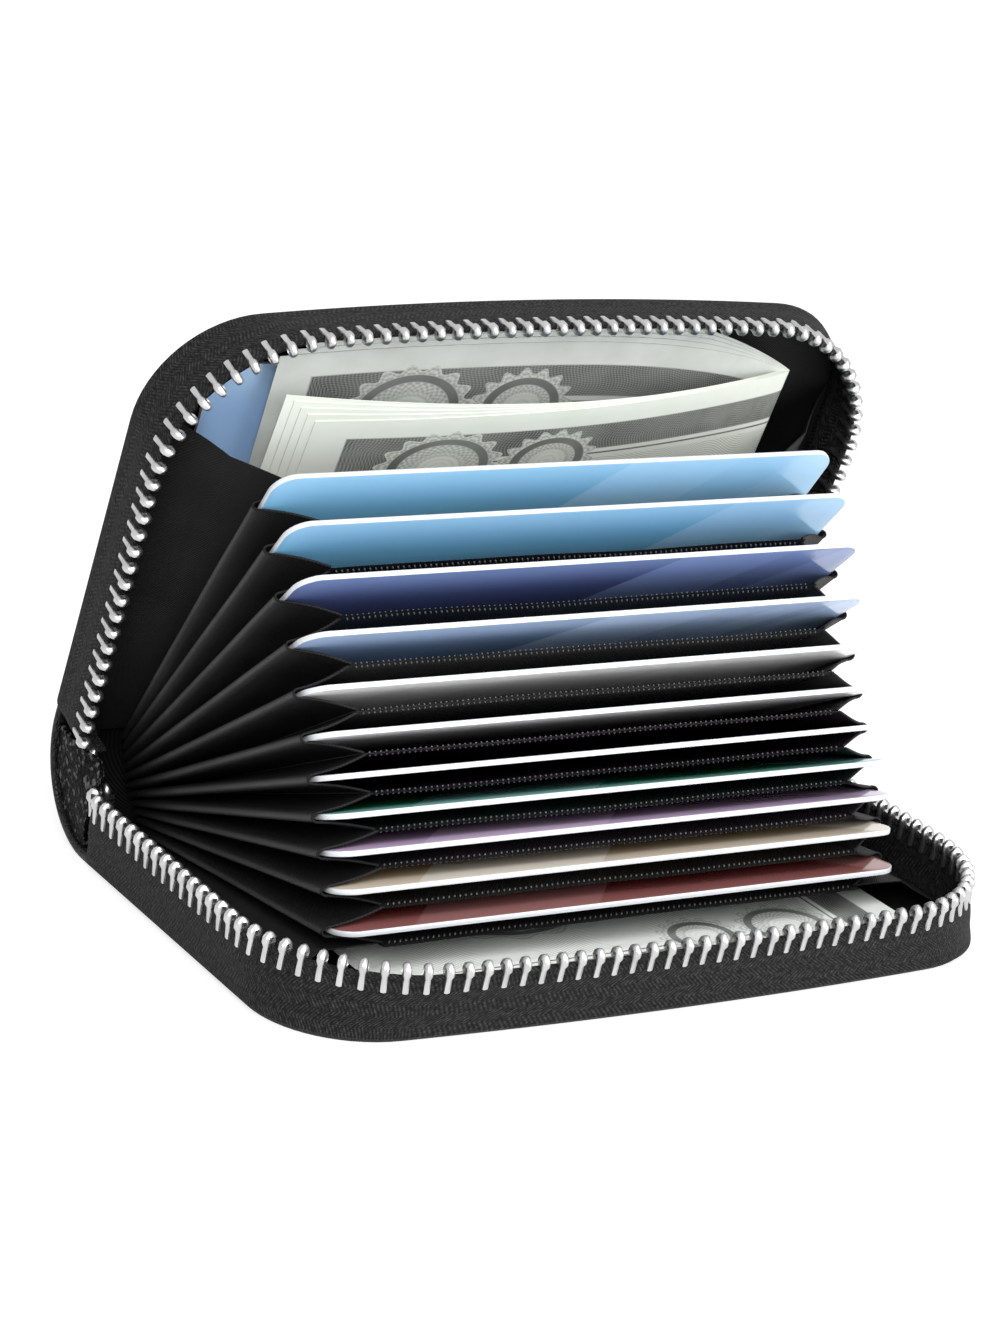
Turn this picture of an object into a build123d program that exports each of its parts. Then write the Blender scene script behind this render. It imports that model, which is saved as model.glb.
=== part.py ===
from build123d import *
import math
import os

os.makedirs("parts", exist_ok=True)

# A zip around card wallet, open like a clam with its accordion of card slots fanned out.
# The bottom cover lies on the surface, the spine stands behind it and the mouth faces -Y.
# X runs along the spine and Z is up.
# The origin is the middle of the bottom cover's outer face. Lengths are millimetres.

# Covers
cover_width = 108.0
cover_front_room = 10.82  # how much deeper a cover is than a card
cover_corner_radius = 15.0
front_bow = 2.4  # how far the middle of the front edge stands out past its ends
closed_thickness = 20.6
open_angle = 71.2  # between the two covers as shown, in degrees
leather = 1.2
board = 0.7
lining = 0.3
hinge_gap = 0.15
inner_start = 3.5  # board and lining start this far in front of the hinge line
stack_gap = 0.12

# Zip tapes and teeth
tape = 0.6
tape_inset = 0.4
tape_top = 8.9  # height of the tape's free edge above the cover's outer face
flare_side = 0.6
flare_front = 2.2
flare_corner = 7.0  # extra corner radius at the tape's free edge
tape_start = 0.8  # the tapes start this far in front of the hinge line
tooth_pitch = 2.6
tooth_thickness = 1.1
tooth_leg = 1.9
tooth_rise = 1.8
tooth_shoulder_share = 0.55
tooth_neck_share = 0.1
tooth_width = 2.2
tooth_head_width = 1.7
tooth_slot_gap = 0.2
teeth_start = 1.6
teeth_end = 11.0  # the chain stops this far in front of the hinge line on the slider's side

# Accordion
slots = 11
slot_pitch = 1.24
stack_drop = 0.3  # the folded stack sits this far below the middle of the spine
divider_thickness = 0.2
divider_depth = 53.5
hem_thickness = 0.36
hem_depth = 2.6
root_deep = 2.6  # the roots lie this far behind the hinge chord at their deepest
root_shallow = 1.1
root_centre = 0.4
root_spread = 7.2
# elevation of each divider and of each slot above the bottom cover, top first, in degrees
divider_angles = [56.2, 51.2, 45.6, 40.0, 34.6, 29.6, 25.05, 20.95, 17.15, 13.4, 9.35, 5.4]
slot_angles = [53.9, 48.4, 42.8, 37.3, 32.0, 27.2, 22.9, 19.0, 15.3, 11.5, 7.2]
gusset_cloth = 0.16
gusset_side_room = 1.8  # from a card's edge to the outer line of the side folds
gusset_reach = 8.1  # from that line in to the divider's edge
gusset_nose = 0.6  # half height of the rolled fold at the root
gusset_nose_front = 1.0
gusset_nose_length = 1.6
gusset_start = 4.0
gusset_depth = 52.8
gusset_gap = 0.04

# Cards
card_width = 85.6
card_depth = 53.98
card_thickness = 0.76
card_corner = 3.18
card_setback = 1.0  # from the slot's pivot line to the card's back edge
card_shift = -0.6
card_drawn = 3.8  # how far the upper cards stand out of their slots
card_drawn_shares = [0.95, 1, 0.8, 0.4, 0, 0, 0, 0, 0, 0, 0]

# Spine
root_strip = 0.35
root_strip_half_width = 47.0
patch_inner = 51.8
patch_outer = 53.9
patch_flap = 0.8
patch_reach = 9.5  # the flap's tip in front of the hinge chord
patch_half_height = 8.0
patch_gap = 0.2

# Paper notes
note_thickness = 0.5
note_width = 80.0
note_front_room = 3.7  # from the flat notes to the cover's front edge
note_start = 8.6
note_shift = 3.0
note_arm = 0.32
note_arm_width = 78.0
note_arm_shift = 1.0
note_arm_start = 8.5  # distance from the upper hinge line
note_arm_front_room = 4.3  # from the folded notes to the cover's front edge
note_drop = 3.05  # the folded stack's middle plane under the hinge line
note_arm_angle = 3.1  # and its slope away from the top cover, in degrees
note_mouth = 7.2
note_root_mouth = 0.7
pocket_card_gap = 0.15
pocket_card_start = 0.2
pocket_card_shift = -3.0

# Outer pockets beside the accordion
pocket_gusset_start = 5.0
pocket_gusset_depth = 51.0
pocket_half_width = 52.3
pocket_margin = 0.12
upper_ridge_angle = 6.0  # the upper pocket's side fold above the first divider, in degrees
lower_ridge_rise = 0.25

# Slider, its tail and its pull
tail_length = 6.8
tail_half_height = 1.1
tail_thickness = 1.5
slider_start = 0.6
slider_length = 9.0
slider_half_height = 3.9
slider_nose_half_height = 2.6
slider_plate = 1.0
slider_middle = 53.5  # the middle plane of the teeth that the slider closes
slider_space = 2.1  # between its two plates
post_half_height = 1.0
post_start = 7.4
post_length = 1.7
ear_inside = 1.65
ear_thickness = 0.75
ear_half_length = 1.2
pin_height = 1.7  # the pull's pin above the slider's outer plate
pin_place = 4.6  # the pull's pin in front of the slider's rear end
pin_radius = 0.45
pin_gap = 0.06
eye_radius = 1.05
pull_length = 15.0
pull_thickness = 1.0
pull_half_width = 2.6
pull_neck = 3.2
pull_corner = 1.0
overrun = 2.0

# Places worked out from the sizes
half_leather = leather / 2
hinge_setback = half_leather + hinge_gap
cover_depth = card_depth + cover_front_room  # hinge line to the middle of the front edge
hinge_y = (cover_depth + hinge_setback) / 2
chord = closed_thickness - leather
half_chord = chord / 2
fold = open_angle / 2
fold_rad = math.radians(fold)
arc_radius = half_chord / math.cos(fold_rad)
arc_centre = half_chord * math.tan(fold_rad)
arc_inner = arc_radius - half_leather
arc_outer = arc_radius + half_leather
floor_inner = leather + board + lining
gusset_half_width = card_width / 2 + gusset_side_room
divider_half_width = gusset_half_width - gusset_reach
slider_inside = slider_middle - slider_space / 2
slider_outside = slider_middle + slider_space / 2

forward_y, forward_z = -math.cos(fold_rad), math.sin(fold_rad)
up_y, up_z = math.sin(fold_rad), math.cos(fold_rad)
middle_y = hinge_y + half_chord * up_y
middle_z = half_leather + half_chord * up_z
upper_hinge_y = hinge_y + chord * up_y
upper_hinge_z = half_leather + chord * up_z


def spine_point(ahead, rise):
    # a place in the spine's own frame, as a y and a z at rest
    return (
        middle_y + ahead * forward_y + rise * up_y,
        middle_z + ahead * forward_z + rise * up_z,
    )


def spine_placed(shape):
    # shapes of the spine are drawn as in the closed wallet, about the chord's middle
    return Pos(0, middle_y, middle_z) * Rot(-fold, 0, 0) * shape


def top_placed(shape):
    # the top cover is the bottom cover's mirror image when closed, then swung open
    closed = mirror(shape, about=Plane.XY.offset(closed_thickness / 2))
    at_hinge = Pos(0, -hinge_y, half_leather - closed_thickness) * closed
    return Pos(0, upper_hinge_y, upper_hinge_z) * Rot(-open_angle, 0, 0) * at_hinge


def leaf_placed(shape, place, angle):
    # a leaf is drawn flat along -Y from its pivot line
    return Pos(0, place[0], place[1]) * Rot(-angle, 0, 0) * shape


def root_depth(rise):
    reach = max(-1, min(1, (rise - root_centre) / root_spread))
    return root_shallow + (root_deep - root_shallow) * (1 + math.cos(math.pi * reach)) / 2


def leaf_rise(step):
    # step counts half slots down from the first divider
    return (slots - step) * slot_pitch / 2 - stack_drop


def leaf_place(step):
    rise = leaf_rise(step)
    return spine_point(-root_depth(rise), rise)


def height_over(place, angle, distance, point, other_angle):
    # height, square to a leaf, of another plane through a point, at a distance along the leaf
    turn = math.radians(angle)
    dy, dz = point[0] - place[0], point[1] - place[1]
    along = -dy * math.cos(turn) + dz * math.sin(turn)
    height = dy * math.sin(turn) + dz * math.cos(turn)
    return height + (distance - along) * math.tan(math.radians(other_angle - angle))


# The covers' outline: two sides, two round corners and a bowed front edge
half_width = cover_width / 2
bow_radius = (half_width**2 + front_bow**2) / (2 * front_bow)


def outline_parts(half, front, corner, rear):
    centre_y = hinge_y - front + bow_radius
    corner_x = half - corner
    corner_y = centre_y - math.sqrt((bow_radius - corner) ** 2 - corner_x**2)
    turn = math.atan2(corner_y - centre_y, corner_x)
    rear_y = hinge_y - rear

    def line(x, y_from, y_to):
        return lambda f: (x, y_from + (y_to - y_from) * f)

    def arc(x, y, radius, a_from, a_to):
        return lambda f: (
            x + radius * math.cos(a_from + (a_to - a_from) * f),
            y + radius * math.sin(a_from + (a_to - a_from) * f),
        )

    return [
        line(-half, rear_y, corner_y),
        arc(-corner_x, corner_y, corner, -math.pi, -math.pi - turn),
        arc(0, centre_y, bow_radius, -math.pi - turn, turn),
        arc(corner_x, corner_y, corner, turn, 0),
        line(half, corner_y, rear_y),
    ]


def outline_wire(half, front, corner, rear, z):
    parts = outline_parts(half, front, corner, rear)
    edges = []
    for index, part in enumerate(parts):
        start, middle, end = [(*part(f), z) for f in (0, 0.5, 1)]
        if index in (0, len(parts) - 1):
            edges.append(Edge.make_line(start, end))
        else:
            edges.append(Edge.make_three_point_arc(start, middle, end))
    edges.append(Edge.make_line((*parts[-1](1), z), (*parts[0](0), z)))
    return Wire(edges)


def plate(inset, bottom, thickness, rear):
    face = Face(
        outline_wire(
            half_width - inset, cover_depth - inset, cover_corner_radius - inset, rear, bottom
        )
    )
    return Solid.extrude(face, Vector(0, 0, thickness))


# Tapes stand on the covers' edges and lean outwards towards their free edges
tape_rise = tape_top - leather


def tape_sizes(inset, height):
    lean = (height - leather) / tape_rise
    return (
        half_width - tape_inset - inset + flare_side * lean,
        cover_depth - tape_inset - inset + flare_front * lean,
        cover_corner_radius - tape_inset - inset + flare_corner * lean,
    )


def tape_block(inset, rear, low, high):
    wires = [
        outline_wire(*tape_sizes(inset, height), rear, height) for height in (low, high)
    ]
    return Solid.make_loft(wires, ruled=True)


def make_tape():
    outer = tape_block(0, tape_start, leather, tape_top)
    inner = tape_block(tape, tape_start - overrun, leather - overrun, tape_top + overrun)
    return outer - inner


slot_half = tape / 2 + tooth_slot_gap
tooth_half = tooth_width / 2
head_half = tooth_head_width / 2
tooth_shoulder = tooth_rise * tooth_shoulder_share
tooth_neck = tooth_rise * tooth_neck_share


def make_tooth():
    # two legs that straddle the tape's edge under a head with bevelled shoulders
    profile = Polyline(
        (0, -tooth_half, -tooth_leg),
        (0, -slot_half, -tooth_leg),
        (0, -slot_half, tooth_neck),
        (0, slot_half, tooth_neck),
        (0, slot_half, -tooth_leg),
        (0, tooth_half, -tooth_leg),
        (0, tooth_half, tooth_shoulder),
        (0, head_half, tooth_rise),
        (0, -head_half, tooth_rise),
        (0, -tooth_half, tooth_shoulder),
        close=True,
    )
    face = Face(Wire(profile.edges()))
    return Pos(-tooth_thickness / 2, 0, 0) * Solid.extrude(face, Vector(tooth_thickness, 0, 0))


def make_teeth(phase):
    base = outline_parts(*tape_sizes(tape / 2, leather), tape_start)
    edge = outline_parts(*tape_sizes(tape / 2, tape_top), tape_start)
    steps = 400
    track = []
    travelled = 0
    last = None
    for low, high in zip(base, edge):
        for step in range(steps + 1):
            f = step / steps
            foot = Vector(*low(f), leather)
            rim = Vector(*high(f), tape_top)
            if last is not None:
                travelled += (rim - last).length
            last = rim
            track.append((travelled, foot, rim))
    tooth = make_tooth()
    teeth = []
    place = teeth_start - tape_start + phase * tooth_pitch
    finish = track[-1][0] - (teeth_end - tape_start)
    index = 1
    while place <= finish:
        while track[index][0] < place or track[index][0] == track[index - 1][0]:
            index += 1
        foot, rim = track[index][1], track[index][2]
        along = (track[index][2] - track[index - 1][2]).normalized()
        lean = rim - foot
        lean = (lean - along * lean.dot(along)).normalized()
        teeth.append(Plane(origin=rim, x_dir=along, z_dir=lean).location * tooth)
        place += tooth_pitch
    return teeth


def save(name, shape):
    export_step(shape, f"parts/{name}.step")


def group(solids):
    return Compound(children=list(solids))


# Bottom cover
leather_shell = plate(0, 0, leather, hinge_setback)
board_sheet = plate(tape_inset + tape + stack_gap, leather, board, inner_start)
lining_sheet = plate(tape_inset + tape + stack_gap, leather + board, lining, inner_start)
tape_wall = make_tape()
save("bottom_cover_leather", leather_shell)
save("bottom_cover_board", board_sheet)
save("bottom_cover_lining", lining_sheet)
save("lower_zip_tape", tape_wall)
save("lower_zip_teeth", group(make_teeth(0)))

# Top cover
save("top_cover_leather", top_placed(leather_shell))
save("top_cover_board", top_placed(board_sheet))
save("top_cover_lining", top_placed(lining_sheet))
save("upper_zip_tape", top_placed(tape_wall))
save("upper_zip_teeth", group(top_placed(tooth) for tooth in make_teeth(0.5)))


# Spine: one curved leather panel with round ends on the two hinge lines
def arc_point(radius, angle):
    return (0, radius * math.cos(angle) - arc_centre, radius * math.sin(angle))


arc_end = math.asin(half_chord / arc_radius)


def nose_point(side):
    _, y, z = arc_point(arc_radius, side * arc_end)
    return (
        0,
        y - half_leather * math.sin(arc_end),
        z + side * half_leather * math.cos(arc_end),
    )


spine_edges = [
    Edge.make_three_point_arc(*[arc_point(arc_outer, a) for a in (-arc_end, 0, arc_end)]),
    Edge.make_three_point_arc(
        arc_point(arc_outer, arc_end), nose_point(1), arc_point(arc_inner, arc_end)
    ),
    Edge.make_three_point_arc(*[arc_point(arc_inner, a) for a in (arc_end, 0, -arc_end)]),
    Edge.make_three_point_arc(
        arc_point(arc_inner, -arc_end), nose_point(-1), arc_point(arc_outer, -arc_end)
    ),
]
spine_face = Face(Wire(spine_edges))
spine_panel = Pos(-half_width, 0, 0) * Solid.extrude(spine_face, Vector(cover_width, 0, 0))
save("spine_leather", spine_placed(spine_panel))

# The strip on the spine's inside that the accordion's leaves are sewn to
strip_turn = math.asin((leaf_rise(0) + slot_pitch) / arc_inner)
strip_inner = arc_inner - root_strip
strip_edges = [
    Edge.make_three_point_arc(*[arc_point(arc_inner, a) for a in (-strip_turn, 0, strip_turn)]),
    Edge.make_line(arc_point(arc_inner, strip_turn), arc_point(strip_inner, strip_turn)),
    Edge.make_three_point_arc(*[arc_point(strip_inner, a) for a in (strip_turn, 0, -strip_turn)]),
    Edge.make_line(arc_point(strip_inner, -strip_turn), arc_point(arc_inner, -strip_turn)),
]
strip_face = Face(Wire(strip_edges))
strip = Pos(-root_strip_half_width, 0, 0) * Solid.extrude(
    strip_face, Vector(2 * root_strip_half_width, 0, 0)
)
save("accordion_root_strip", spine_placed(strip))

# End patches close the spine's two ends; the left one has a flap between the tapes
patch_turn = math.acos((arc_centre + patch_gap) / arc_inner)
patch_edges = [
    Edge.make_three_point_arc(*[arc_point(arc_inner, a) for a in (-patch_turn, 0, patch_turn)]),
    Edge.make_line(arc_point(arc_inner, patch_turn), arc_point(arc_inner, -patch_turn)),
]
patch_face = Face(Wire(patch_edges))
patch_block = Solid.extrude(patch_face, Vector(patch_outer - patch_inner, 0, 0))
flap_profile = Polyline(
    (0, patch_gap, -patch_half_height),
    (0, -patch_reach, 0),
    (0, patch_gap, patch_half_height),
    close=True,
)
flap_block = Solid.extrude(Face(Wire(flap_profile.edges())), Vector(patch_flap, 0, 0))
left_patch = Pos(-patch_outer, 0, 0) * patch_block + Pos(-patch_inner - patch_flap, 0, 0) * flap_block
save("spine_end_left", spine_placed(left_patch))
right_patch = Pos(patch_inner, 0, 0) * patch_block
save("spine_end_right", spine_placed(right_patch))


def block(x_from, x_to, ahead_from, ahead_to, rise_from, rise_to):
    # a box in the spine's frame
    box = Box(x_to - x_from, ahead_to - ahead_from, rise_to - rise_from)
    centre_x = (x_from + x_to) / 2
    return Pos(centre_x, -(ahead_from + ahead_to) / 2, (rise_from + rise_to) / 2) * box


# The zip's closed tail and the slider parked on it, at the spine's right end
half_tail = tail_thickness / 2
tail = block(
    slider_middle - half_tail,
    slider_middle + half_tail,
    -patch_gap,
    tail_length,
    -tail_half_height,
    tail_half_height,
)
save("zip_tail", spine_placed(tail))

slider_end = slider_start + slider_length


def slider_plate_at(x_from):
    # narrow at the rear and wide at the throat
    profile = Polyline(
        (x_from, -slider_start, -slider_nose_half_height),
        (x_from, -slider_end, -slider_half_height),
        (x_from, -slider_end, slider_half_height),
        (x_from, -slider_start, slider_nose_half_height),
        close=True,
    )
    return Solid.extrude(Face(Wire(profile.edges())), Vector(slider_plate, 0, 0))


pin_x = slider_outside + slider_plate + pin_height
pin_ahead = slider_start + pin_place


def pin_rod(radius, half_length):
    rod = Cylinder(radius, 2 * half_length)
    return Pos(pin_x, -pin_ahead, 0) * rod


ear_outside = ear_inside + ear_thickness
ears = [
    block(
        slider_outside + slider_plate,
        pin_x + ear_half_length - pin_gap,
        pin_ahead - ear_half_length,
        pin_ahead + ear_half_length,
        min(side * ear_inside, side * ear_outside),
        max(side * ear_inside, side * ear_outside),
    )
    for side in (-1, 1)
]
slider = (
    slider_plate_at(slider_outside)
    + slider_plate_at(slider_inside - slider_plate)
    + block(
        slider_inside,
        slider_outside,
        post_start,
        post_start + post_length,
        -post_half_height,
        post_half_height,
    )
    + ears[0]
    + ears[1]
    - pin_rod(pin_radius, ear_outside + overrun)
)
save("slider_body", spine_placed(slider))
save("pull_pin", spine_placed(pin_rod(pin_radius, ear_outside)))

half_pull = pull_thickness / 2
neck_half = ear_inside - pin_gap * 2
pull_tip = pin_ahead - pull_length
pull_neck_end = pin_ahead - pull_neck
pull_profile = Polyline(
    (pin_x - half_pull, -pin_ahead, -neck_half),
    (pin_x - half_pull, -pull_neck_end, -neck_half),
    (pin_x - half_pull, -pull_neck_end + pull_corner, -pull_half_width),
    (pin_x - half_pull, -pull_tip - pull_corner, -pull_half_width),
    (pin_x - half_pull, -pull_tip, -pull_half_width + pull_corner),
    (pin_x - half_pull, -pull_tip, pull_half_width - pull_corner),
    (pin_x - half_pull, -pull_tip - pull_corner, pull_half_width),
    (pin_x - half_pull, -pull_neck_end + pull_corner, pull_half_width),
    (pin_x - half_pull, -pull_neck_end, neck_half),
    (pin_x - half_pull, -pin_ahead, neck_half),
    close=True,
)
pull = (
    Solid.extrude(Face(Wire(pull_profile.edges())), Vector(pull_thickness, 0, 0))
    + pin_rod(eye_radius, neck_half)
    - pin_rod(pin_radius + pin_gap, ear_outside + overrun)
)
save("pull_tab", spine_placed(pull))


# Accordion: twelve dividers with a folded hem, and the side gussets between them
def flat_sheet(half_x, near, far, thickness):
    sheet = Box(2 * half_x, far - near, thickness)
    return Pos(0, -(near + far) / 2, 0) * sheet


def make_divider(step, angle):
    half_thick = divider_thickness / 2
    sheet = flat_sheet(divider_half_width, 0, divider_depth, divider_thickness)
    root = Rot(0, 90, 0) * Cylinder(half_thick, 2 * divider_half_width)
    hem = flat_sheet(divider_half_width, divider_depth - hem_depth, divider_depth, hem_thickness)
    return leaf_placed(sheet + root + hem, leaf_place(step), angle)


for index, angle in enumerate(divider_angles):
    save(f"divider_{index + 1:02d}", make_divider(2 * index, angle))


def section(points, distance):
    return Wire(Polyline(*[(x, -distance, z) for x, z in points], close=True).edges())


def slot_section(distance, upper, lower, nose, side):
    cloth = gusset_cloth
    inner_x = divider_half_width
    nose_x = gusset_half_width - gusset_nose_length
    outer = [
        (inner_x, upper),
        (nose_x, nose),
        (gusset_half_width, nose / 2),
        (gusset_half_width, -nose / 2),
        (nose_x, -nose),
        (inner_x, -lower),
    ]
    inner = [
        (inner_x, cloth - lower),
        (nose_x, cloth - nose),
        (gusset_half_width - cloth, cloth - nose / 2),
        (gusset_half_width - cloth, nose / 2 - cloth),
        (nose_x, nose - cloth),
        (inner_x, upper - cloth),
    ]
    return section([(side * x, z) for x, z in outer + inner], distance)


def make_gusset(index):
    # both side folds of one card slot
    step = 2 * index + 1
    place, angle = leaf_place(step), slot_angles[index]
    solids = []
    for side in (-1, 1):
        wires = []
        for distance, nose in (
            (gusset_start, gusset_nose),
            (gusset_depth, gusset_nose_front),
        ):
            upper = height_over(
                place, angle, distance, leaf_place(step - 1), divider_angles[index]
            )
            lower = -height_over(
                place, angle, distance, leaf_place(step + 1), divider_angles[index + 1]
            )
            wires.append(
                slot_section(distance, upper - gusset_gap, lower - gusset_gap, nose, side)
            )
        solids.append(leaf_placed(Solid.make_loft(wires, ruled=True), place, angle))
    return group(solids)


def make_card(width, corner, drawn):
    blank = Box(width, card_depth, card_thickness)
    blank = fillet(blank.edges().filter_by(Axis.Z), corner)
    return Pos(card_shift, -(card_setback + drawn + card_depth / 2), 0) * blank


for index, angle in enumerate(slot_angles):
    save(f"slot_gusset_{index + 1:02d}", make_gusset(index))
    drawn = card_drawn * card_drawn_shares[index]
    card = make_card(card_width, card_corner, drawn)
    card = leaf_placed(card, leaf_place(2 * index + 1), angle)
    save(f"card_{index + 1:02d}", card)


# Side folds of the two pockets for paper, between the outer dividers and the covers
def ridge_section(distance, ridge, wall, side):
    cloth = gusset_cloth
    half_thick = divider_thickness / 2 * (1 if wall > 0 else -1)
    lift = cloth if wall > 0 else -cloth
    path = [
        (divider_half_width, half_thick),
        (gusset_half_width, ridge),
        (pocket_half_width, wall - lift),
    ]
    points = path + [(x, z + lift) for x, z in reversed(path)]
    return section([(side * x, z) for x, z in points], distance)


def make_pocket_gusset(step, angle, point, plane_angle, ridge_angle, ridge_rise):
    place = leaf_place(step)
    sign = 1 if plane_angle > angle else -1
    solids = []
    for side in (-1, 1):
        wires = []
        for distance in (pocket_gusset_start, pocket_gusset_depth):
            wall = height_over(place, angle, distance, point, plane_angle)
            ridge = sign * ridge_rise + distance * math.tan(math.radians(ridge_angle))
            wires.append(ridge_section(distance, ridge, wall - sign * pocket_margin, side))
        solids.append(leaf_placed(Solid.make_loft(wires, ruled=True), place, angle))
    return group(solids)


# a point on each lining's inner face, and the angle of that face
lower_face = (hinge_y - inner_start, floor_inner)
turn = math.radians(open_angle)
rise = half_leather - floor_inner
upper_face = (
    upper_hinge_y - rise * math.sin(turn) * -1,
    upper_hinge_z + rise * math.cos(turn),
)
save(
    "upper_pocket_gusset",
    make_pocket_gusset(
        0, divider_angles[0], upper_face, open_angle, upper_ridge_angle, gusset_cloth
    ),
)
save(
    "lower_pocket_gusset",
    make_pocket_gusset(
        2 * slots, divider_angles[-1], lower_face, 0, 0, lower_ridge_rise
    ),
)

# The card tucked in the upper pocket, against the lining
tucked = Box(card_width, card_depth, card_thickness)
tucked = fillet(tucked.edges().filter_by(Axis.Z), card_corner)
tucked = (
    Pos(
        pocket_card_shift,
        hinge_y - inner_start - pocket_card_start - card_depth / 2,
        floor_inner + pocket_card_gap + card_thickness / 2,
    )
    * tucked
)
save("tucked_card", top_placed(tucked))

# Paper: one flat stack on the bottom lining and one folded stack in the upper pocket
note_depth = cover_depth - note_start - note_front_room
lower_notes = (
    Pos(
        note_shift,
        hinge_y - note_start - note_depth / 2,
        floor_inner + note_thickness / 2,
    )
    * Box(note_width, note_depth, note_thickness)
)
save("lower_notes", lower_notes)

inner_fold_share = 0.93
fold_shares = [(0, 1, 1), (0.45, 0.86, 0.94), (0.75, 0.58, 0.72), (0.92, 0.28, 0.36)]


def note_section(distance, mouth):
    # two arms that meet in a rounded fold on the right
    left = note_arm_shift - note_arm_width / 2
    front = [(left + note_arm_width * x, -mouth / 2 * low) for x, low, _ in fold_shares]
    back = [(left + note_arm_width * x, mouth / 2 * high) for x, _, high in fold_shares]
    outer = front + [(left + note_arm_width, 0)] + back[::-1]
    inner_front = [(x, z + note_arm) for x, z in front[:-1]]
    inner_back = [(x, z - note_arm) for x, z in back[:-1]]
    inner = inner_back + [(left + note_arm_width * inner_fold_share, 0)] + inner_front[::-1]
    return section(outer + inner, distance)


notes = Solid.make_loft(
    [
        note_section(note_arm_start, note_root_mouth + 2 * note_arm),
        note_section(cover_depth - note_arm_front_room, note_mouth),
    ],
    ruled=True,
)
save(
    "upper_notes",
    leaf_placed(
        Pos(0, 0, -note_drop) * notes,
        (upper_hinge_y, upper_hinge_z),
        open_angle - note_arm_angle,
    ),
)
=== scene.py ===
# %% [markdown]
# # A zip around card wallet, open like a clam
# The wallet lies on its bottom cover with the mouth towards -Y. Its solids come
# in as a fixed frame, and each cell below models one piece of the real object
# around them, in metres, in the same places.

import math
import random

import bmesh
import bpy
from mathutils import Matrix, Vector


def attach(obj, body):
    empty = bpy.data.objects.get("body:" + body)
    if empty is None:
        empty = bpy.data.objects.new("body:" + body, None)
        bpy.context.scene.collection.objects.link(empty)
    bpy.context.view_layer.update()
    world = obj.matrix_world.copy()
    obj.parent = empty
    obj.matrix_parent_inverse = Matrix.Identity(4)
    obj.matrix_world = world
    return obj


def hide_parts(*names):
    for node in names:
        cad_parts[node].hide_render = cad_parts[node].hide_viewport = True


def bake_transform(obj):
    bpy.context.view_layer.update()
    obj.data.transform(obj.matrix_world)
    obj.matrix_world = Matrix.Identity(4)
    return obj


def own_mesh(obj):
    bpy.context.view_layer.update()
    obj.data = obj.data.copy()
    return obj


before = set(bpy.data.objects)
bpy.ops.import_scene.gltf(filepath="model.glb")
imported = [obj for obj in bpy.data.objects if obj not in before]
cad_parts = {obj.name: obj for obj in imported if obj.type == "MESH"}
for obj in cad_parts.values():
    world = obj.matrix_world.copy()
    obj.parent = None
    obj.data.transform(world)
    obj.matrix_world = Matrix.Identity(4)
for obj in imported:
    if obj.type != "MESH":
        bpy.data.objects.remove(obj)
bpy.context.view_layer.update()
MM = 0.001

# %% [markdown]
# ## Camera
# The camera stands low and to the left, as in the photograph, and looks into
# the mouth. Its axes are written out rather than aimed with a constraint, so
# that every vertical and slanted edge falls where the photograph has it.

# %% Camera
camera_place = Vector((-0.2564, -0.3793, 0.1843))
camera_right = Vector((0.856, -0.505, 0.114)).normalized()
camera_back = Vector((-0.513, -0.799, 0.313)).normalized()
camera_up = camera_back.cross(camera_right).normalized()
camera_right = camera_up.cross(camera_back)

bpy.ops.object.camera_add(location=camera_place)
camera = bpy.context.object
camera.data.lens = 100
camera.data.sensor_width = 36
camera.data.clip_start = 0.01
camera.data.clip_end = 20
axes = Matrix((camera_right, camera_up, camera_back)).transposed()
camera.matrix_world = Matrix.Translation(camera_place) @ axes.to_4x4()
bpy.context.scene.camera = camera
print("camera at", tuple(round(c, 3) for c in camera_place))

# %% [markdown]
# ## Measures of the wallet
# The closed wallet is a sandwich of two covers. Open, the whole thing is
# symmetric about a slanted plane half way up the spine, so one half is
# modelled and the other is its mirror image. Each leaf of the accordion is a
# flat sheet that turns on its own line near the spine.

# %% Measures, mirror and leaf places
cover_width = 108 * MM
cover_depth = 64.8 * MM
corner_radius = 15 * MM
front_bow = 2.4 * MM
leather = 1.2 * MM
lining_top = 2.2 * MM
closed_thickness = 20.6 * MM
open_angle = 71.2
fold = math.radians(open_angle / 2)
hinge_y = 32.775 * MM
hinge_z = leather / 2
half_chord = (closed_thickness - leather) / 2
forward = Vector((0, -math.cos(fold), math.sin(fold)))
upward = Vector((0, math.sin(fold), math.cos(fold)))
spine_middle = Vector((0, hinge_y, hinge_z)) + upward * half_chord
upper_hinge = Vector((0, hinge_y, hinge_z)) + upward * 2 * half_chord
arc_radius = half_chord / math.cos(fold)
arc_centre = half_chord * math.tan(fold)
half_width = cover_width / 2
bow_radius = (half_width**2 + front_bow**2) / (2 * front_bow)

slots = 11
slot_pitch = 1.24 * MM
# how steeply each leaf stands in degrees, from the top down
divider_angles = [56.2, 51.2, 45.6, 40.0, 34.6, 29.6, 25.05, 20.95, 17.15, 13.4, 9.35, 5.4]
slot_angles = [53.9, 48.4, 42.8, 37.3, 32.0, 27.2, 22.9, 19.0, 15.3, 11.5, 7.2]

mirror_up = (
    Matrix.Translation(spine_middle)
    @ Matrix.Scale(-1, 4, upward)
    @ Matrix.Translation(-spine_middle)
)


def spine_place(ahead, rise, x=0.0):
    return spine_middle + forward * ahead + upward * rise + Vector((x, 0, 0))


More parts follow.
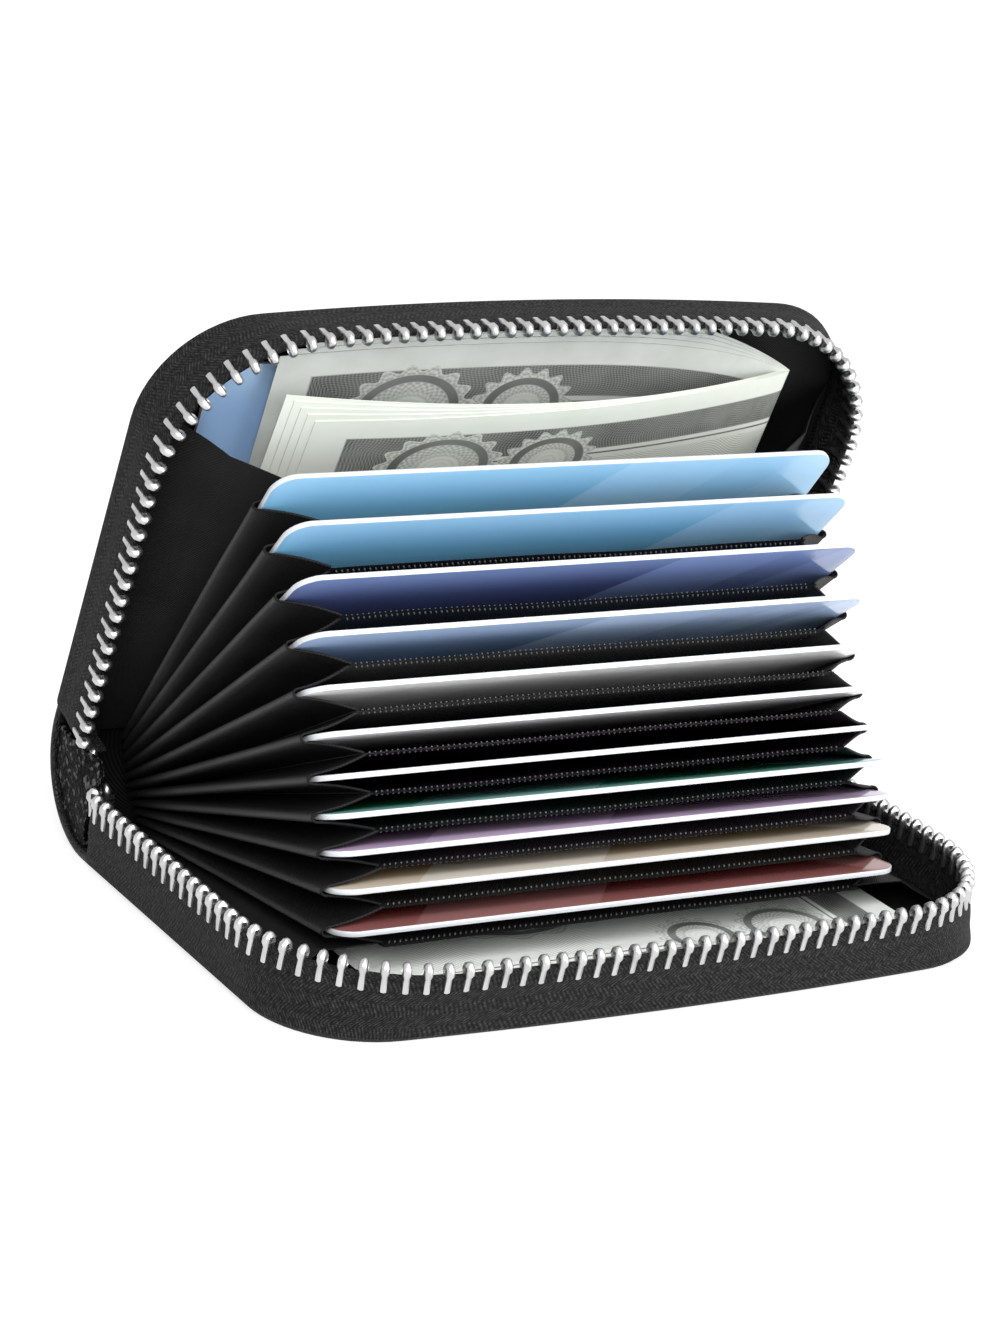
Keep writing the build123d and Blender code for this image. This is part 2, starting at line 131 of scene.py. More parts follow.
def leaf_pivot(step):
    # even steps are dividers and odd ones slots; the middle ones sit deepest
    rise = (slots - step) * slot_pitch / 2 - 0.3 * MM
    reach = max(-1, min(1, (rise / MM - 0.4) / 7.2))
    deep = 1.1 + 1.5 * (1 + math.cos(math.pi * reach)) / 2
    return spine_place(-deep * MM, rise)


def leaf_matrix(pivot, angle):
    # a leaf lies flat along -Y from its pivot before it is turned up
    return Matrix.Translation(pivot) @ Matrix.Rotation(-math.radians(angle), 4, "X")


def leaf_normal(angle):
    turn = math.radians(angle)
    return Vector((0, math.sin(turn), math.cos(turn)))


def height_over(pivot, angle, distance, point, other_angle):
    # how far another leaf's plane is above this one at a distance from the pivot
    turn = math.radians(angle)
    d = point - pivot
    along = -d.y * math.cos(turn) + d.z * math.sin(turn)
    height = d.y * math.sin(turn) + d.z * math.cos(turn)
    return height + (distance - along) * math.tan(math.radians(other_angle - angle))


print("upper hinge at", tuple(round(c, 4) for c in upper_hinge))

# %% [markdown]
# ## Helpers for modelling
# A primitive starts each piece. Sheets start as a grid whose points are then
# moved to their places, which keeps the grid's own UV map; the map is given in
# metres of cloth, so that every weave has its real size. Repeated small things
# such as teeth and stitches are modelled once and copied into one mesh.

# %% Helpers for meshes


def deselect():
    bpy.ops.object.select_all(action="DESELECT")


def pick(piece):
    deselect()
    piece.select_set(True)
    bpy.context.view_layer.objects.active = piece


def named(name):
    # names the piece just added, and leaves it at the origin with its points in place
    piece = bpy.context.object
    piece.name = piece.data.name = name
    bpy.ops.object.transform_apply(location=True, rotation=True, scale=True)
    return piece


def add_cube(name, size, place):
    deselect()
    bpy.ops.mesh.primitive_cube_add(size=1, location=place, scale=size)
    return named(name)


def add_rod(name, radius, length, place):
    deselect()
    bpy.ops.mesh.primitive_cylinder_add(vertices=20, radius=radius, depth=length, location=place)
    return named(name)


def add_sheet(name, columns, rows, place, lengths=None):
    # place(u, v) gives each point, and lengths(u, v) its place on the flat cloth
    deselect()
    bpy.ops.mesh.primitive_grid_add(x_subdivisions=columns, y_subdivisions=rows, size=1)
    piece = named(name)
    shares = [(v.co.x + 0.5, v.co.y + 0.5) for v in piece.data.vertices]
    for vertex, (u, v) in zip(piece.data.vertices, shares):
        vertex.co = place(u, v)
    if lengths:
        layer = piece.data.uv_layers.active.data
        for loop in piece.data.loops:
            layer[loop.index].uv = lengths(*shares[loop.vertex_index])
    return piece


def add_modifier(piece, kind, **settings):
    pick(piece)
    modifier = piece.modifiers.new(kind.lower(), kind)
    for setting, value in settings.items():
        setattr(modifier, setting, value)
    bpy.ops.object.modifier_apply(modifier=modifier.name)
    return piece


def thicken(piece, thickness):
    return add_modifier(piece, "SOLIDIFY", thickness=thickness, offset=0.0)


def soften(piece, width, segments=2):
    return add_modifier(
        piece, "BEVEL", width=width, segments=segments, limit_method="ANGLE", angle_limit=0.6
    )


def subdivide(piece, cuts):
    pick(piece)
    bpy.ops.object.mode_set(mode="EDIT")
    bpy.ops.mesh.select_all(action="SELECT")
    bpy.ops.mesh.subdivide(number_cuts=cuts)
    bpy.ops.object.mode_set(mode="OBJECT")


def select_parts(piece, kind, test):
    # picks the faces or edges that pass the test, and stays in edit mode
    pick(piece)
    bpy.ops.object.mode_set(mode="EDIT")
    bpy.ops.mesh.select_mode(type=kind)
    bpy.ops.mesh.select_all(action="DESELECT")
    bpy.ops.object.mode_set(mode="OBJECT")
    for part in piece.data.polygons if kind == "FACE" else piece.data.edges:
        part.select = test(part)
    bpy.ops.object.mode_set(mode="EDIT")


def clean(piece, merge=None):
    pick(piece)
    bpy.ops.object.mode_set(mode="EDIT")
    bpy.ops.mesh.select_all(action="SELECT")
    if merge:
        bpy.ops.mesh.remove_doubles(threshold=merge)
    bpy.ops.mesh.normals_make_consistent(inside=False)
    bpy.ops.object.mode_set(mode="OBJECT")
    return piece


def smooth(piece, angle=40):
    pick(piece)
    bpy.ops.object.shade_smooth_by_angle(angle=math.radians(angle))
    return piece


def join(name, pieces):
    deselect()
    for piece in pieces:
        piece.select_set(True)
    bpy.context.view_layer.objects.active = pieces[0]
    if len(pieces) > 1:
        bpy.ops.object.join()
    pieces[0].name = pieces[0].data.name = name
    return pieces[0]


def spread(name, original, places):
    # one mesh that holds a copy of the original at each place
    whole = bmesh.new()
    for place in places:
        copy = original.data.copy()
        copy.transform(place)
        whole.from_mesh(copy)
        bpy.data.meshes.remove(copy)
    data = bpy.data.meshes.new(name)
    whole.to_mesh(data)
    whole.free()
    piece = bpy.data.objects.new(name, data)
    bpy.context.collection.objects.link(piece)
    return piece


def drop(piece):
    bpy.data.objects.remove(piece, do_unlink=True)


def mirrored(piece, name):
    copy = spread(name, piece, [mirror_up])
    copy.data.flip_normals()
    return copy


def dress(piece, material, body=None, nodes=()):
    piece.data.materials.clear()
    piece.data.materials.append(material)
    if body:
        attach(piece, body)
    if nodes:
        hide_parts(*nodes)
    return piece


def soft_wave(x, y, seed):
    # a slow, smooth unevenness between -1 and 1
    return (
        math.sin(x * 1.0 + seed * 1.7)
        + math.sin(x * 2.3 + y * 1.1 + seed * 2.9) * 0.6
        + math.sin(y * 1.9 - x * 0.7 + seed * 4.1) * 0.5
    ) / 2.1


print("helpers ready")

# %% [markdown]
# ## Shared effects for the materials
# Several finishes need the same effect, such as a weave or a grain. Each
# effect is a node group with named inputs, so a material only sets its own
# sizes. A group gives out colours, masks and heights; the shader stays in the
# material. What a node gives out is held as a Value, so that the sums below
# read like sums while they add their nodes to the tree.

# %% Helpers for node trees
VECTOR, FLOAT, COLOUR = "NodeSocketVector", "NodeSocketFloat", "NodeSocketColor"


class Value:
    """What a node gives out, with the signs of arithmetic."""

    def __init__(self, tree, socket):
        self.tree, self.socket = tree, socket

    def __add__(self, other):
        return maths(self.tree, "ADD", self, other)

    def __sub__(self, other):
        return maths(self.tree, "SUBTRACT", self, other)

    def __rsub__(self, other):
        return maths(self.tree, "SUBTRACT", other, self)

    def __mul__(self, other):
        return maths(self.tree, "MULTIPLY", self, other)

    def __truediv__(self, other):
        return maths(self.tree, "DIVIDE", self, other)

    def __rtruediv__(self, other):
        return maths(self.tree, "DIVIDE", other, self)

    def __abs__(self):
        return maths(self.tree, "ABSOLUTE", self)

    def at_least(self, other):
        return maths(self.tree, "MAXIMUM", self, other)

    def wave(self, pitch):
        return maths(self.tree, "SINE", self / pitch * math.tau)

    def step(self, low, high):
        # rises smoothly from 0 at low to 1 at high
        values = {0: self, 1: low, 2: high}
        made = put(self.tree, "ShaderNodeMapRange", values, interpolation_type="SMOOTHSTEP")
        return Value(self.tree, made.outputs[0])

    def ramp(self, start, end, low=0.0, high=1.0):
        values = {0: self, 1: low, 2: high, 3: start, 4: end}
        return Value(self.tree, put(self.tree, "ShaderNodeMapRange", values).outputs[0])


def feed(tree, sockets, values):
    # each socket gets a link or a plain number or colour
    for title, value in values.items():
        if isinstance(value, Value):
            tree.links.new(value.socket, sockets[title])
        else:
            sockets[title].default_value = value


def put(tree, kind, values=None, **settings):
    made = tree.nodes.new(kind)
    for setting, value in settings.items():
        setattr(made, setting, value)
    feed(tree, made.inputs, values or {})
    return made


def maths(tree, operation, *values, clamp=False):
    values = dict(enumerate(values))
    made = put(tree, "ShaderNodeMath", values, operation=operation, use_clamp=clamp)
    return Value(tree, made.outputs[0])


def blend_colours(tree, share, first, second):
    made = put(tree, "ShaderNodeMix", {0: share, 6: first, 7: second}, data_type="RGBA")
    return Value(tree, made.outputs[2])


def noise(vector, scale, detail=2.0, output=0):
    values = {"Vector": vector, "Scale": scale, "Detail": detail}
    made = put(vector.tree, "ShaderNodeTexNoise", values)
    return Value(vector.tree, made.outputs[output])


def cells(vector, scale, feature="F1"):
    values = {"Vector": vector, "Scale": scale}
    made = put(vector.tree, "ShaderNodeTexVoronoi", values, feature=feature)
    return Value(vector.tree, made.outputs[0])


def parts_of(vector):
    made = put(vector.tree, "ShaderNodeSeparateXYZ", {0: vector})
    return [Value(vector.tree, socket) for socket in made.outputs]


def bump(height, distance):
    made = put(height.tree, "ShaderNodeBump", {"Height": height, "Distance": distance})
    return Value(height.tree, made.outputs[0])


def effect(name, inputs, outputs):
    group = bpy.data.node_groups.new(name, "ShaderNodeTree")
    for direction, sockets in (("INPUT", inputs), ("OUTPUT", outputs)):
        for title, kind in sockets.items():
            group.interface.new_socket(title, in_out=direction, socket_type=kind)
    source = group.nodes.new("NodeGroupInput").outputs
    result = group.nodes.new("NodeGroupOutput").inputs
    return group, {title: Value(group, source[title]) for title in inputs}, result


def use(tree, group, **values):
    made = put(tree, "ShaderNodeGroup", values, node_tree=group)
    return {socket.name: Value(tree, socket) for socket in made.outputs}


def grey(value):
    return (value, value, value, 1.0)


print("node helpers ready")

# %% [markdown]
# The zip tape is woven in a herringbone: diagonal ribs that change direction
# from band to band. Across the tape a folded ramp makes the bands, and a wave
# along the tape, shifted by that ramp, makes the ribs.

# %% Effect: herringbone weave
herringbone, given, result = effect(
    "herringbone weave",
    {"Vector": VECTOR, "Rib": FLOAT, "Band": FLOAT},
    {"Height": FLOAT, "Tone": FLOAT},
)
along, across, _ = parts_of(given["Vector"])
folded = maths(herringbone, "PINGPONG", across, given["Band"])
ribs = (along + folded).wave(given["Rib"])
threads = across.wave(given["Rib"] * 0.45)
woven = threads * 0.12 + (ribs * 0.38 + 0.5)
cloud = noise(given["Vector"], 1500.0)
knots = cells(given["Vector"], 2600.0)
woven = woven * (knots * -1.3 + 1.4)
feed(
    herringbone, result, {"Height": cloud * 0.25 + woven, "Tone": woven * cloud.step(0.25, 0.7)}
)
print("herringbone sockets:", [i.name for i in herringbone.interface.items_tree])

# %% [markdown]
# The accordion and the lining are black ribbed satin: very fine slanted ribs,
# with soft cloudy patches where the cloth has been handled.

# %% Effect: ribbed satin
satin, given, result = effect(
    "ribbed satin", {"Vector": VECTOR, "Rib": FLOAT}, {"Height": FLOAT, "Tone": FLOAT}
)
along, across, _ = parts_of(given["Vector"])
ribs = (along * 0.8 + across).wave(given["Rib"])
patches = noise(given["Vector"], 110.0, 3.0)
handled = patches.step(0.2, 0.8) * 0.6 + 0.4
feed(satin, result, {"Height": ribs * 0.5 + patches, "Tone": (ribs * 0.35 + 0.65) * handled})
print("satin sockets:", [i.name for i in satin.interface.items_tree])

# %% [markdown]
# Leather grain is a skin of small uneven pebbles with creases between them.
# Two layers of cells at different sizes keep it from looking like a net.

# %% Effect: leather grain
grain, given, result = effect(
    "leather grain", {"Vector": VECTOR, "Cell": FLOAT}, {"Height": FLOAT, "Crease": FLOAT}
)
wander = noise(given["Vector"], 350.0, output=1)
sway = (0.9 * MM, 0.9 * MM, 0.9 * MM)
moved = put(
    grain,
    "ShaderNodeVectorMath",
    {0: wander, 1: sway, 2: given["Vector"]},
    operation="MULTIPLY_ADD",
)
moved = Value(grain, moved.outputs[0])
density = 1.0 / given["Cell"]
crease = cells(moved, density, "DISTANCE_TO_EDGE").step(0.0, 0.16)
pebbles = cells(moved, density * 0.45, "SMOOTH_F1")
feed(grain, result, {"Height": pebbles * -0.5 + (crease + 0.2), "Crease": 1.0 - crease})
print("grain sockets:", [i.name for i in grain.interface.items_tree])

# %% [markdown]
# A plastic card is printed to just short of its edge. The group finds how far
# a point is inside the rounded outline, which gives the bare rim. Over the
# print it lays a slanted band of lighter gloss, a paler field beyond the band
# with one more stripe in it, a gleam at the right end and a glow at the front.

# %% Effect: card face
card_width, card_depth, card_corner = 85.6 * MM, 53.98 * MM, 3.18 * MM
card_face, given, result = effect(
    "card face",
    {
        "Vector": VECTOR,
        "Print": COLOUR,
        "Light": COLOUR,
        "Slope": FLOAT,
        "Shift": FLOAT,
        "Width": FLOAT,
        "After": FLOAT,
    },
    {"Colour": COLOUR},
)
x, y, _ = parts_of(given["Vector"])
beside = (abs(x) - (card_width / 2 - card_corner)).at_least(0.0)
before = (abs(y) - (card_depth / 2 - card_corner)).at_least(0.0)
reach = maths(card_face, "SQRT", beside * beside + before * before)
rim = reach.step(card_corner - 0.16 * MM, card_corner - 0.04 * MM)
rim_colour = (0.6, 0.62, 0.65, 1)

soft = 0.4 * MM
slant = y * given["Slope"] + x + given["Shift"]
past = slant - given["Width"]
beyond = past.step(0.0, soft)
band = slant.step(0.0, soft) * (1.0 - beyond)
stripe = past.step(10 * MM, 10 * MM + soft) * (1.0 - past.step(16 * MM, 16 * MM + soft))
gloss = (stripe * 0.4 + beyond) * given["After"] + band * 0.5
end_gleam = (y * 0.9 + x).step(14.8 * MM, 16.4 * MM)
gloss = gloss.at_least(end_gleam * 0.55)
front_glow = y.step(-19 * MM, -card_depth / 2) * 0.5
tint = blend_colours(card_face, gloss, given["Print"], given["Light"])
tint = blend_colours(card_face, front_glow, tint, given["Light"])
feed(card_face, result, {"Colour": blend_colours(card_face, rim, tint, rim_colour)})
print("card face sockets:", [i.name for i in card_face.interface.items_tree])

# %% [markdown]
# Paper notes carry engraved-looking line work. This one is a generic design of
# frames, wave lines and rosettes: rings whose radius ripples with the angle,
# as an engraver's lathe cuts them.

# %% Effect: engraved paper
engraving, given, result = effect(
    "engraved paper",
    {"Vector": VECTOR, "Length": FLOAT, "Depth": FLOAT},
    {"Ink": FLOAT, "Shade": FLOAT},
)
rosettes = [
    # place of the middle and radius, in millimetres
    (-62, 22, 7.2),
    (-48.5, 22, 6),
    (-58, -16, 8),
    (62, 22, 7.2),
    (48.5, 22, 6),
    (60, -21, 7.2),
    (46.5, -21, 6),
    (24, 0, 15),
    (-22, 2, 10),
]


def between(value, low, high, edge=0.15 * MM):
    # 1 from low to high, with soft edges
    return value.step(low - edge, low + edge) * (1.0 - value.step(high - edge, high + edge))


def lines(value, pitch, share=0.5):
    # one inked line in each pitch, which takes this share of it
    level = 1 - 2 * share
    return value.wave(pitch).step(level - 0.4, level + 0.4)


def rosette(x, y, radius):
    # its disc, and the rings on it: two sets that ripple against each other
    far = maths(x.tree, "SQRT", x * x + y * y)
    petals = maths(x.tree, "SINE", maths(x.tree, "ARCTAN2", y, x) * 16.0)
    swing = petals * (far.step(0.0, radius) * (0.55 * MM))
    rings = lines(far + swing, 0.8 * MM) * 0.5 + lines(far - swing, 0.8 * MM) * 0.35
    disc = 1.0 - (far + swing).step(radius - 0.2 * MM, radius)
    edge = between(far, radius - 2.4 * MM, radius - 1.2 * MM)
    hub = far.step(0.42 * radius, 0.3 * radius)
    tone = (rings * 0.55 + 0.12).at_least(edge) * (hub * -0.75 + 1.0)
    return disc, disc * tone


x, y, _ = parts_of(given["Vector"])
from_end = given["Length"] * 0.5 - abs(x)
from_side = given["Depth"] * 0.5 - abs(y)
inside = maths(engraving, "MINIMUM", from_end, from_side)

wavy = lines(inside + x.wave(7 * MM) * (0.3 * MM), 0.36 * MM)
cross_wavy = lines(x + y.wave(6 * MM) * (0.4 * MM), 0.42 * MM)
frame_tone = wavy * 0.14 + (cross_wavy * 0.12 + 0.74)
frame_ink = between(inside, 4.2 * MM, 9.4 * MM) * frame_tone
hairline = between(inside, 10.2 * MM, 10.5 * MM, 0.1 * MM)
field_lines = lines(y + x.wave(18 * MM) * (1.6 * MM), 0.45 * MM, 0.35)
field_ink = inside.step(11.2 * MM, 11.6 * MM) * field_lines * 0.35
ink = frame_ink.at_least(hairline).at_least(field_ink)
for centre_x, centre_y, radius in rosettes:
    disc, rings = rosette(x - centre_x * MM, y - centre_y * MM, radius * MM)
    ink = (ink * (1.0 - disc)).at_least(rings * 0.9)
blotch = noise(given["Vector"], 160.0, 3.0)
blotched_ink = maths(engraving, "MULTIPLY", ink, blotch * 0.4 + 0.7, clamp=True)
feed(engraving, result, {"Ink": blotched_ink, "Shade": blotch})
print("engraving sockets:", [i.name for i in engraving.interface.items_tree])

# %% [markdown]
# ## Materials
# Each finish of the wallet is one material that uses the effects above. The
# cloths read the UV map in metres; leather, metal and board have no run of
# threads, so they read Object coordinates. The patches at the spine's ends are
# darker leather, with small light specks painted on them as glints.

# %% Materials: cloths, leather and thread


def new_material(name):
    material = bpy.data.materials.new(name)
    material.use_nodes = True
    return material, material.node_tree


def give_looks(material, colour, relief, roughness, **more):
    # more names other inputs of the shader, with _ for each space
    looks = {title.replace("_", " "): value for title, value in more.items()}
    looks |= {"Base Color": colour, "Normal": relief, "Roughness": roughness}
    tree = material.node_tree
    feed(tree, tree.nodes["Principled BSDF"].inputs, looks)
    return material


def flat_map(tree):
    return Value(tree, put(tree, "ShaderNodeTexCoord").outputs["UV"])


def object_map(tree):
    return Value(tree, put(tree, "ShaderNodeTexCoord").outputs["Object"])


def stretched_map(tree, scale):
    values = {"Vector": object_map(tree), "Scale": scale}
    return Value(tree, put(tree, "ShaderNodeMapping", values).outputs[0])


def make_tape_cloth():
    material, tree = new_material("zip tape herringbone")
    weave = use(tree, herringbone, Vector=flat_map(tree), Rib=0.6 * MM, Band=1.6 * MM)
    colour = blend_colours(tree, weave["Tone"], grey(0.002), (0.058, 0.058, 0.06, 1))
    relief = bump(weave["Height"], 0.2 * MM)
    return give_looks(material, colour, relief, 0.7, Specular_IOR_Level=0.16)


def painted_fold_highlight(tree):
    # a painted highlight along the fold, where the map's width is zero: bright on the
    # crest, fainter down one slope, broken up by noise and faded out near the root
    from_root, from_fold, _ = parts_of(flat_map(tree))
    crest = 1.0 - abs(from_fold).step(0.1 * MM, 1.5 * MM)
    slope = from_fold.step(-5.5 * MM, -0.4 * MM) * (
        1.0 - from_fold.step(-0.2 * MM, 0.2 * MM)
    )
    highlight_breakup = noise(flat_map(tree), 90.0) * 0.7 + 0.55
    share = (slope * 0.32 + crest * 0.75) * highlight_breakup
    return maths(tree, "MULTIPLY", share, from_root.step(0.0, 16 * MM), clamp=True)


def make_satin_cloth(name, dark, light, rib, roughness, fold_highlight_grey=None):
    material, tree = new_material(name)
    weave = use(tree, satin, Vector=flat_map(tree), Rib=rib)
    colour = blend_colours(tree, weave["Tone"], grey(dark), (light, light, light * 1.04, 1))
    # the folds get a painted highlight along their crests
    if fold_highlight_grey:
        colour = blend_colours(tree, painted_fold_highlight(tree), colour, grey(fold_highlight_grey))
    relief = bump(weave["Height"], 0.05 * MM)
    return give_looks(material, colour, relief, roughness, Specular_IOR_Level=0.18)


def make_leather(name, gloss, glint_grey):
    material, tree = new_material(name)
    grained = use(tree, grain, Vector=object_map(tree), Cell=0.95 * MM)
    rubbed = noise(object_map(tree), 60.0, 4.0)
    colour = blend_colours(tree, rubbed, grey(0.004), (0.014, 0.014, 0.015, 1))
    # the creases between the pebbles are painted darker as shade
    colour = blend_colours(tree, grained["Crease"], colour, grey(0.002))
    # the patch leather is darker, and its light specks are painted glints
    if glint_grey:
        colour = blend_colours(tree, 0.6, colour, grey(0.001))
        specks = noise(object_map(tree), 1100.0, 3.0).step(0.54, 0.66)
        colour = blend_colours(tree, specks, colour, grey(glint_grey))
    relief = bump(grained["Height"], 0.14 * MM)
    roughness = rubbed.ramp(0.38, 0.52, 0.3, 0.7)
    return give_looks(material, colour, relief, roughness, Specular_IOR_Level=gloss)


def make_thread(name, value):
    material, tree = new_material(name)
    x, y, z = parts_of(object_map(tree))
    twist = (x + y + z).wave(0.3 * MM) * 0.5 + 0.5
    colour = blend_colours(tree, twist, grey(value * 0.6), grey(value))
    return give_looks(material, colour, bump(twist, 0.04 * MM), 0.6)


tape_cloth = make_tape_cloth()
accordion_cloth = make_satin_cloth("black ribbed satin", 0.002, 0.016, 0.42 * MM, 0.5)
# its last value is the grey of the painted highlight along the folds
fold_cloth = make_satin_cloth("black satin of the folds", 0.002, 0.014, 0.42 * MM, 0.55, 0.075)
lining_cloth = make_satin_cloth("black satin lining", 0.002, 0.012, 0.5 * MM, 0.46)
leather_skin = make_leather("black grained leather", 0.3, 0.0)
# the patches carry painted glints of grey 0.11
patch_skin = make_leather("crumpled patch leather", 0.03, 0.11)
cover_thread = make_thread("black cover thread", 0.05)
hem_thread = make_thread("grey hem thread", 0.13)
print("cloths:", tape_cloth.name, accordion_cloth.name, lining_cloth.name)

# %% [markdown]
# The metal of the zip is brushed and a little tarnished; in the dimples of the
# teeth it is darkened as painted shade. Paper and cards get their print from
# the effects. The lower cards lie the other way up, so their band slants the
# other way.

# %% Materials: metal, board, paper and cards


def make_metal(name, value, roughness):
    material, tree = new_material(name)
    scratches = noise(stretched_map(tree, (300, 300, 2500)), 1.0, 3.0)
    tarnish = noise(object_map(tree), 220.0).step(0.3, 0.7)
    colour = blend_colours(tree, tarnish, grey(value * 0.86), grey(value))
    brushed = scratches.ramp(roughness * 0.7, roughness * 1.5)
    return give_looks(material, colour, bump(scratches, 0.01 * MM), brushed, Metallic=1.0)


def make_board():
    material, tree = new_material("grey fibre board")
    fibres = noise(stretched_map(tree, (400, 1600, 1600)), 1.0, 4.0)
    colour = blend_colours(tree, fibres, (0.22, 0.21, 0.19, 1), (0.45, 0.43, 0.4, 1))
    return give_looks(material, colour, bump(fibres, 0.05 * MM), 0.85)


def make_paper(name, tint, back_tint):
    # the half of the sheet past the fold is the greyer one
    material, tree = new_material(name)
    art = use(tree, engraving, Vector=flat_map(tree), Length=note_length, Depth=note_depth)
    past_fold = parts_of(flat_map(tree))[0].step(-4 * MM, 12 * MM)
    paper = blend_colours(tree, past_fold, (*tint, 1), (*back_tint, 1))
    paler = blend_colours(tree, 0.5, paper, grey(0.9))
    paper = blend_colours(tree, art["Shade"], paper, paler)
    colour = blend_colours(tree, art["Ink"], paper, (0.045, 0.048, 0.045, 1))
    relief = bump(art["Shade"], 0.03 * MM)
    return give_looks(material, colour, relief, 0.75, Specular_IOR_Level=0.25)


def make_card(name, printed, light, shift, turned=False):
    material, tree = new_material(name)
    face = use(
        tree,
        card_face,
        Vector=flat_map(tree),
        Print=(*printed, 1),
        Light=(*light, 1),
        Slope=-0.8 if turned else 0.8,
        Shift=shift * MM,
        Width=(27 if turned else 18) * MM,
        After=0.0 if turned else 0.34,
    )
    haze = noise(object_map(tree), 90.0, 3.0)
    varnish = {"Coat_Weight": 0.5, "Coat_Roughness": 0.08}
    relief = bump(haze, 0.01 * MM)
    return give_looks(material, face["Colour"], relief, haze.ramp(0.14, 0.3), **varnish)


bright_metal = make_metal("polished zip metal", 0.6, 0.3)
# the dimples' metal is dark to paint the shade inside them
dimple_shade_metal = make_metal("dimple metal darkened as painted shade", 0.09, 0.5)
board_grey = make_board()
note_length, note_depth = 156 * MM, 66 * MM
upper_paper = make_paper("upper note paper", (0.66, 0.7, 0.6), (0.46, 0.49, 0.45))
lower_paper = make_paper("lower note paper", (0.82, 0.86, 0.81), (0.82, 0.86, 0.81))
periwinkle = make_card("periwinkle card", (0.28, 0.44, 0.7), (0.5, 0.68, 0.88), 6)
card_colours = [
    # tone, print, gloss band and the band's shift in millimetres
    ("sky", (0.16, 0.41, 0.62), (0.4, 0.62, 0.82), 12),
    ("sky", (0.14, 0.38, 0.6), (0.36, 0.58, 0.8), -2),
    ("navy", (0.05, 0.068, 0.18), (0.22, 0.31, 0.58), 8),
    ("steel", (0.16, 0.25, 0.43), (0.5, 0.64, 0.88), 20),
    ("white", (0.74, 0.74, 0.74), (0.86, 0.86, 0.86), 6),
    ("white", (0.74, 0.74, 0.75), (0.86, 0.86, 0.86), 11),
    ("purple", (0.12, 0.03, 0.12), (0.4, 0.25, 0.4), 9),
    ("green", (0.015, 0.18, 0.09), (0.26, 0.5, 0.52), 10.1),
    ("lilac", (0.3, 0.2, 0.33), (0.62, 0.48, 0.68), 9),
    ("tan", (0.36, 0.26, 0.14), (0.74, 0.71, 0.65), 10.1),
    ("maroon", (0.13, 0.018, 0.016), (0.3, 0.15, 0.145), 10.8),
]
print("card prints:", len(card_colours))

# %% [markdown]
# The few solids whose shape is right and that hardly show, such as the boards
# inside the covers, stay as they are and only get their finish. They have no
# UV map of cloth lengths, so their satin reads Object coordinates.

# %% Finish of the solids that stay


def make_plain_satin():
    material, tree = new_material("satin on solids")
    weave = use(tree, satin, Vector=object_map(tree), Rib=0.5 * MM)
    colour = blend_colours(tree, weave["Tone"], grey(0.001), grey(0.005))
    relief = bump(weave["Height"], 0.05 * MM)
    return give_looks(material, colour, relief, 0.6, Specular_IOR_Level=0.08)


kept_solids = {
    "bottom_cover_board": board_grey,
    "top_cover_board": board_grey,
    "accordion_root_strip": make_plain_satin(),
}
for node, material in kept_solids.items():
    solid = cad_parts[node]
    solid.data.materials.clear()
    solid.data.materials.append(material)
print("solids kept:", sorted(kept_solids))

# %% [markdown]
# ## Outline of a cover
# Both covers, their tapes and the teeth follow one outline: a straight side, a
# round corner, a slightly bowed front and back again. It is worked out once as
# five runs, each followed by a share from 0 to 1, so that the foot of the tape
# and its free edge can be matched point for point.

# %% Outline of a cover


def corner_of(half, front, corner):
    # the middles of the bow and of the round corner, and where the two meet
    centre_y = hinge_y - front + bow_radius
    corner_x = half - corner
    corner_y = centre_y - math.sqrt((bow_radius - corner) ** 2 - corner_x**2)
    return centre_y, corner_x, corner_y, math.atan2(corner_y - centre_y, corner_x)


def outline_runs(half, front, corner, rear_left, rear_right):
    centre_y, corner_x, corner_y, turn = corner_of(half, front, corner)

    def line(x, y_from, y_to):
        return lambda f: Vector((x, y_from + (y_to - y_from) * f, 0))

    def arc(x, y, radius, a_from, a_to):
        return lambda f: Vector(
            (
                x + radius * math.cos(a_from + (a_to - a_from) * f),
                y + radius * math.sin(a_from + (a_to - a_from) * f),
                0,
            )
        )

    return [
        line(-half, hinge_y - rear_left, corner_y),
        arc(-corner_x, corner_y, corner, -math.pi, -math.pi - turn),
        arc(0, centre_y, bow_radius, -math.pi - turn, turn),
        arc(corner_x, corner_y, corner, turn, 0),
        line(half, corner_y, hinge_y - rear_right),
    ]


run_steps = (24, 16, 40, 16, 24)
lean_side, lean_front, lean_corner = 0.6 * MM, 2.2 * MM, 7.0 * MM


def outline_points(inset, rear_left, rear_right=None, lean=0.0):
    # matched points along the outline, with the outward direction at each; a
    # lean of 1 is the outline of the tape's rim, which leans out over the cover
    runs = outline_runs(
        half_width - inset + lean_side * lean,
        cover_depth - inset + lean_front * lean,
        corner_radius - inset + lean_corner * lean,
        rear_left,
        rear_left if rear_right is None else rear_right,
    )
    points = []
    for index, (run, steps) in enumerate(zip(runs, run_steps)):
        for k in range(steps + (index == len(runs) - 1)):
            f = k / steps
            ahead = run(min(1, f + 0.001)) - run(max(0, f - 0.001))
            ahead.normalize()
            points.append((run(f), Vector((ahead.y, -ahead.x, 0))))
    return points


test_run = outline_points(0, 0)
print("outline points:", len(test_run), "outward at the left side:", tuple(test_run[3][1]))

# %% [markdown]
# ## Outer leather
# One skin of grained leather runs from the front of the bottom cover, round
# the spine and over the top cover. It bends where the covers swing, so each
# half of it is a sheet that bends between a cover and the spine. Its edge is
# turned in over the board: a thin roll follows the outline and hides the cut.

# %% Lower half of the leather, with its rolled edge
roll = leather / 2
arc_turn = math.asin(half_chord / arc_radius)


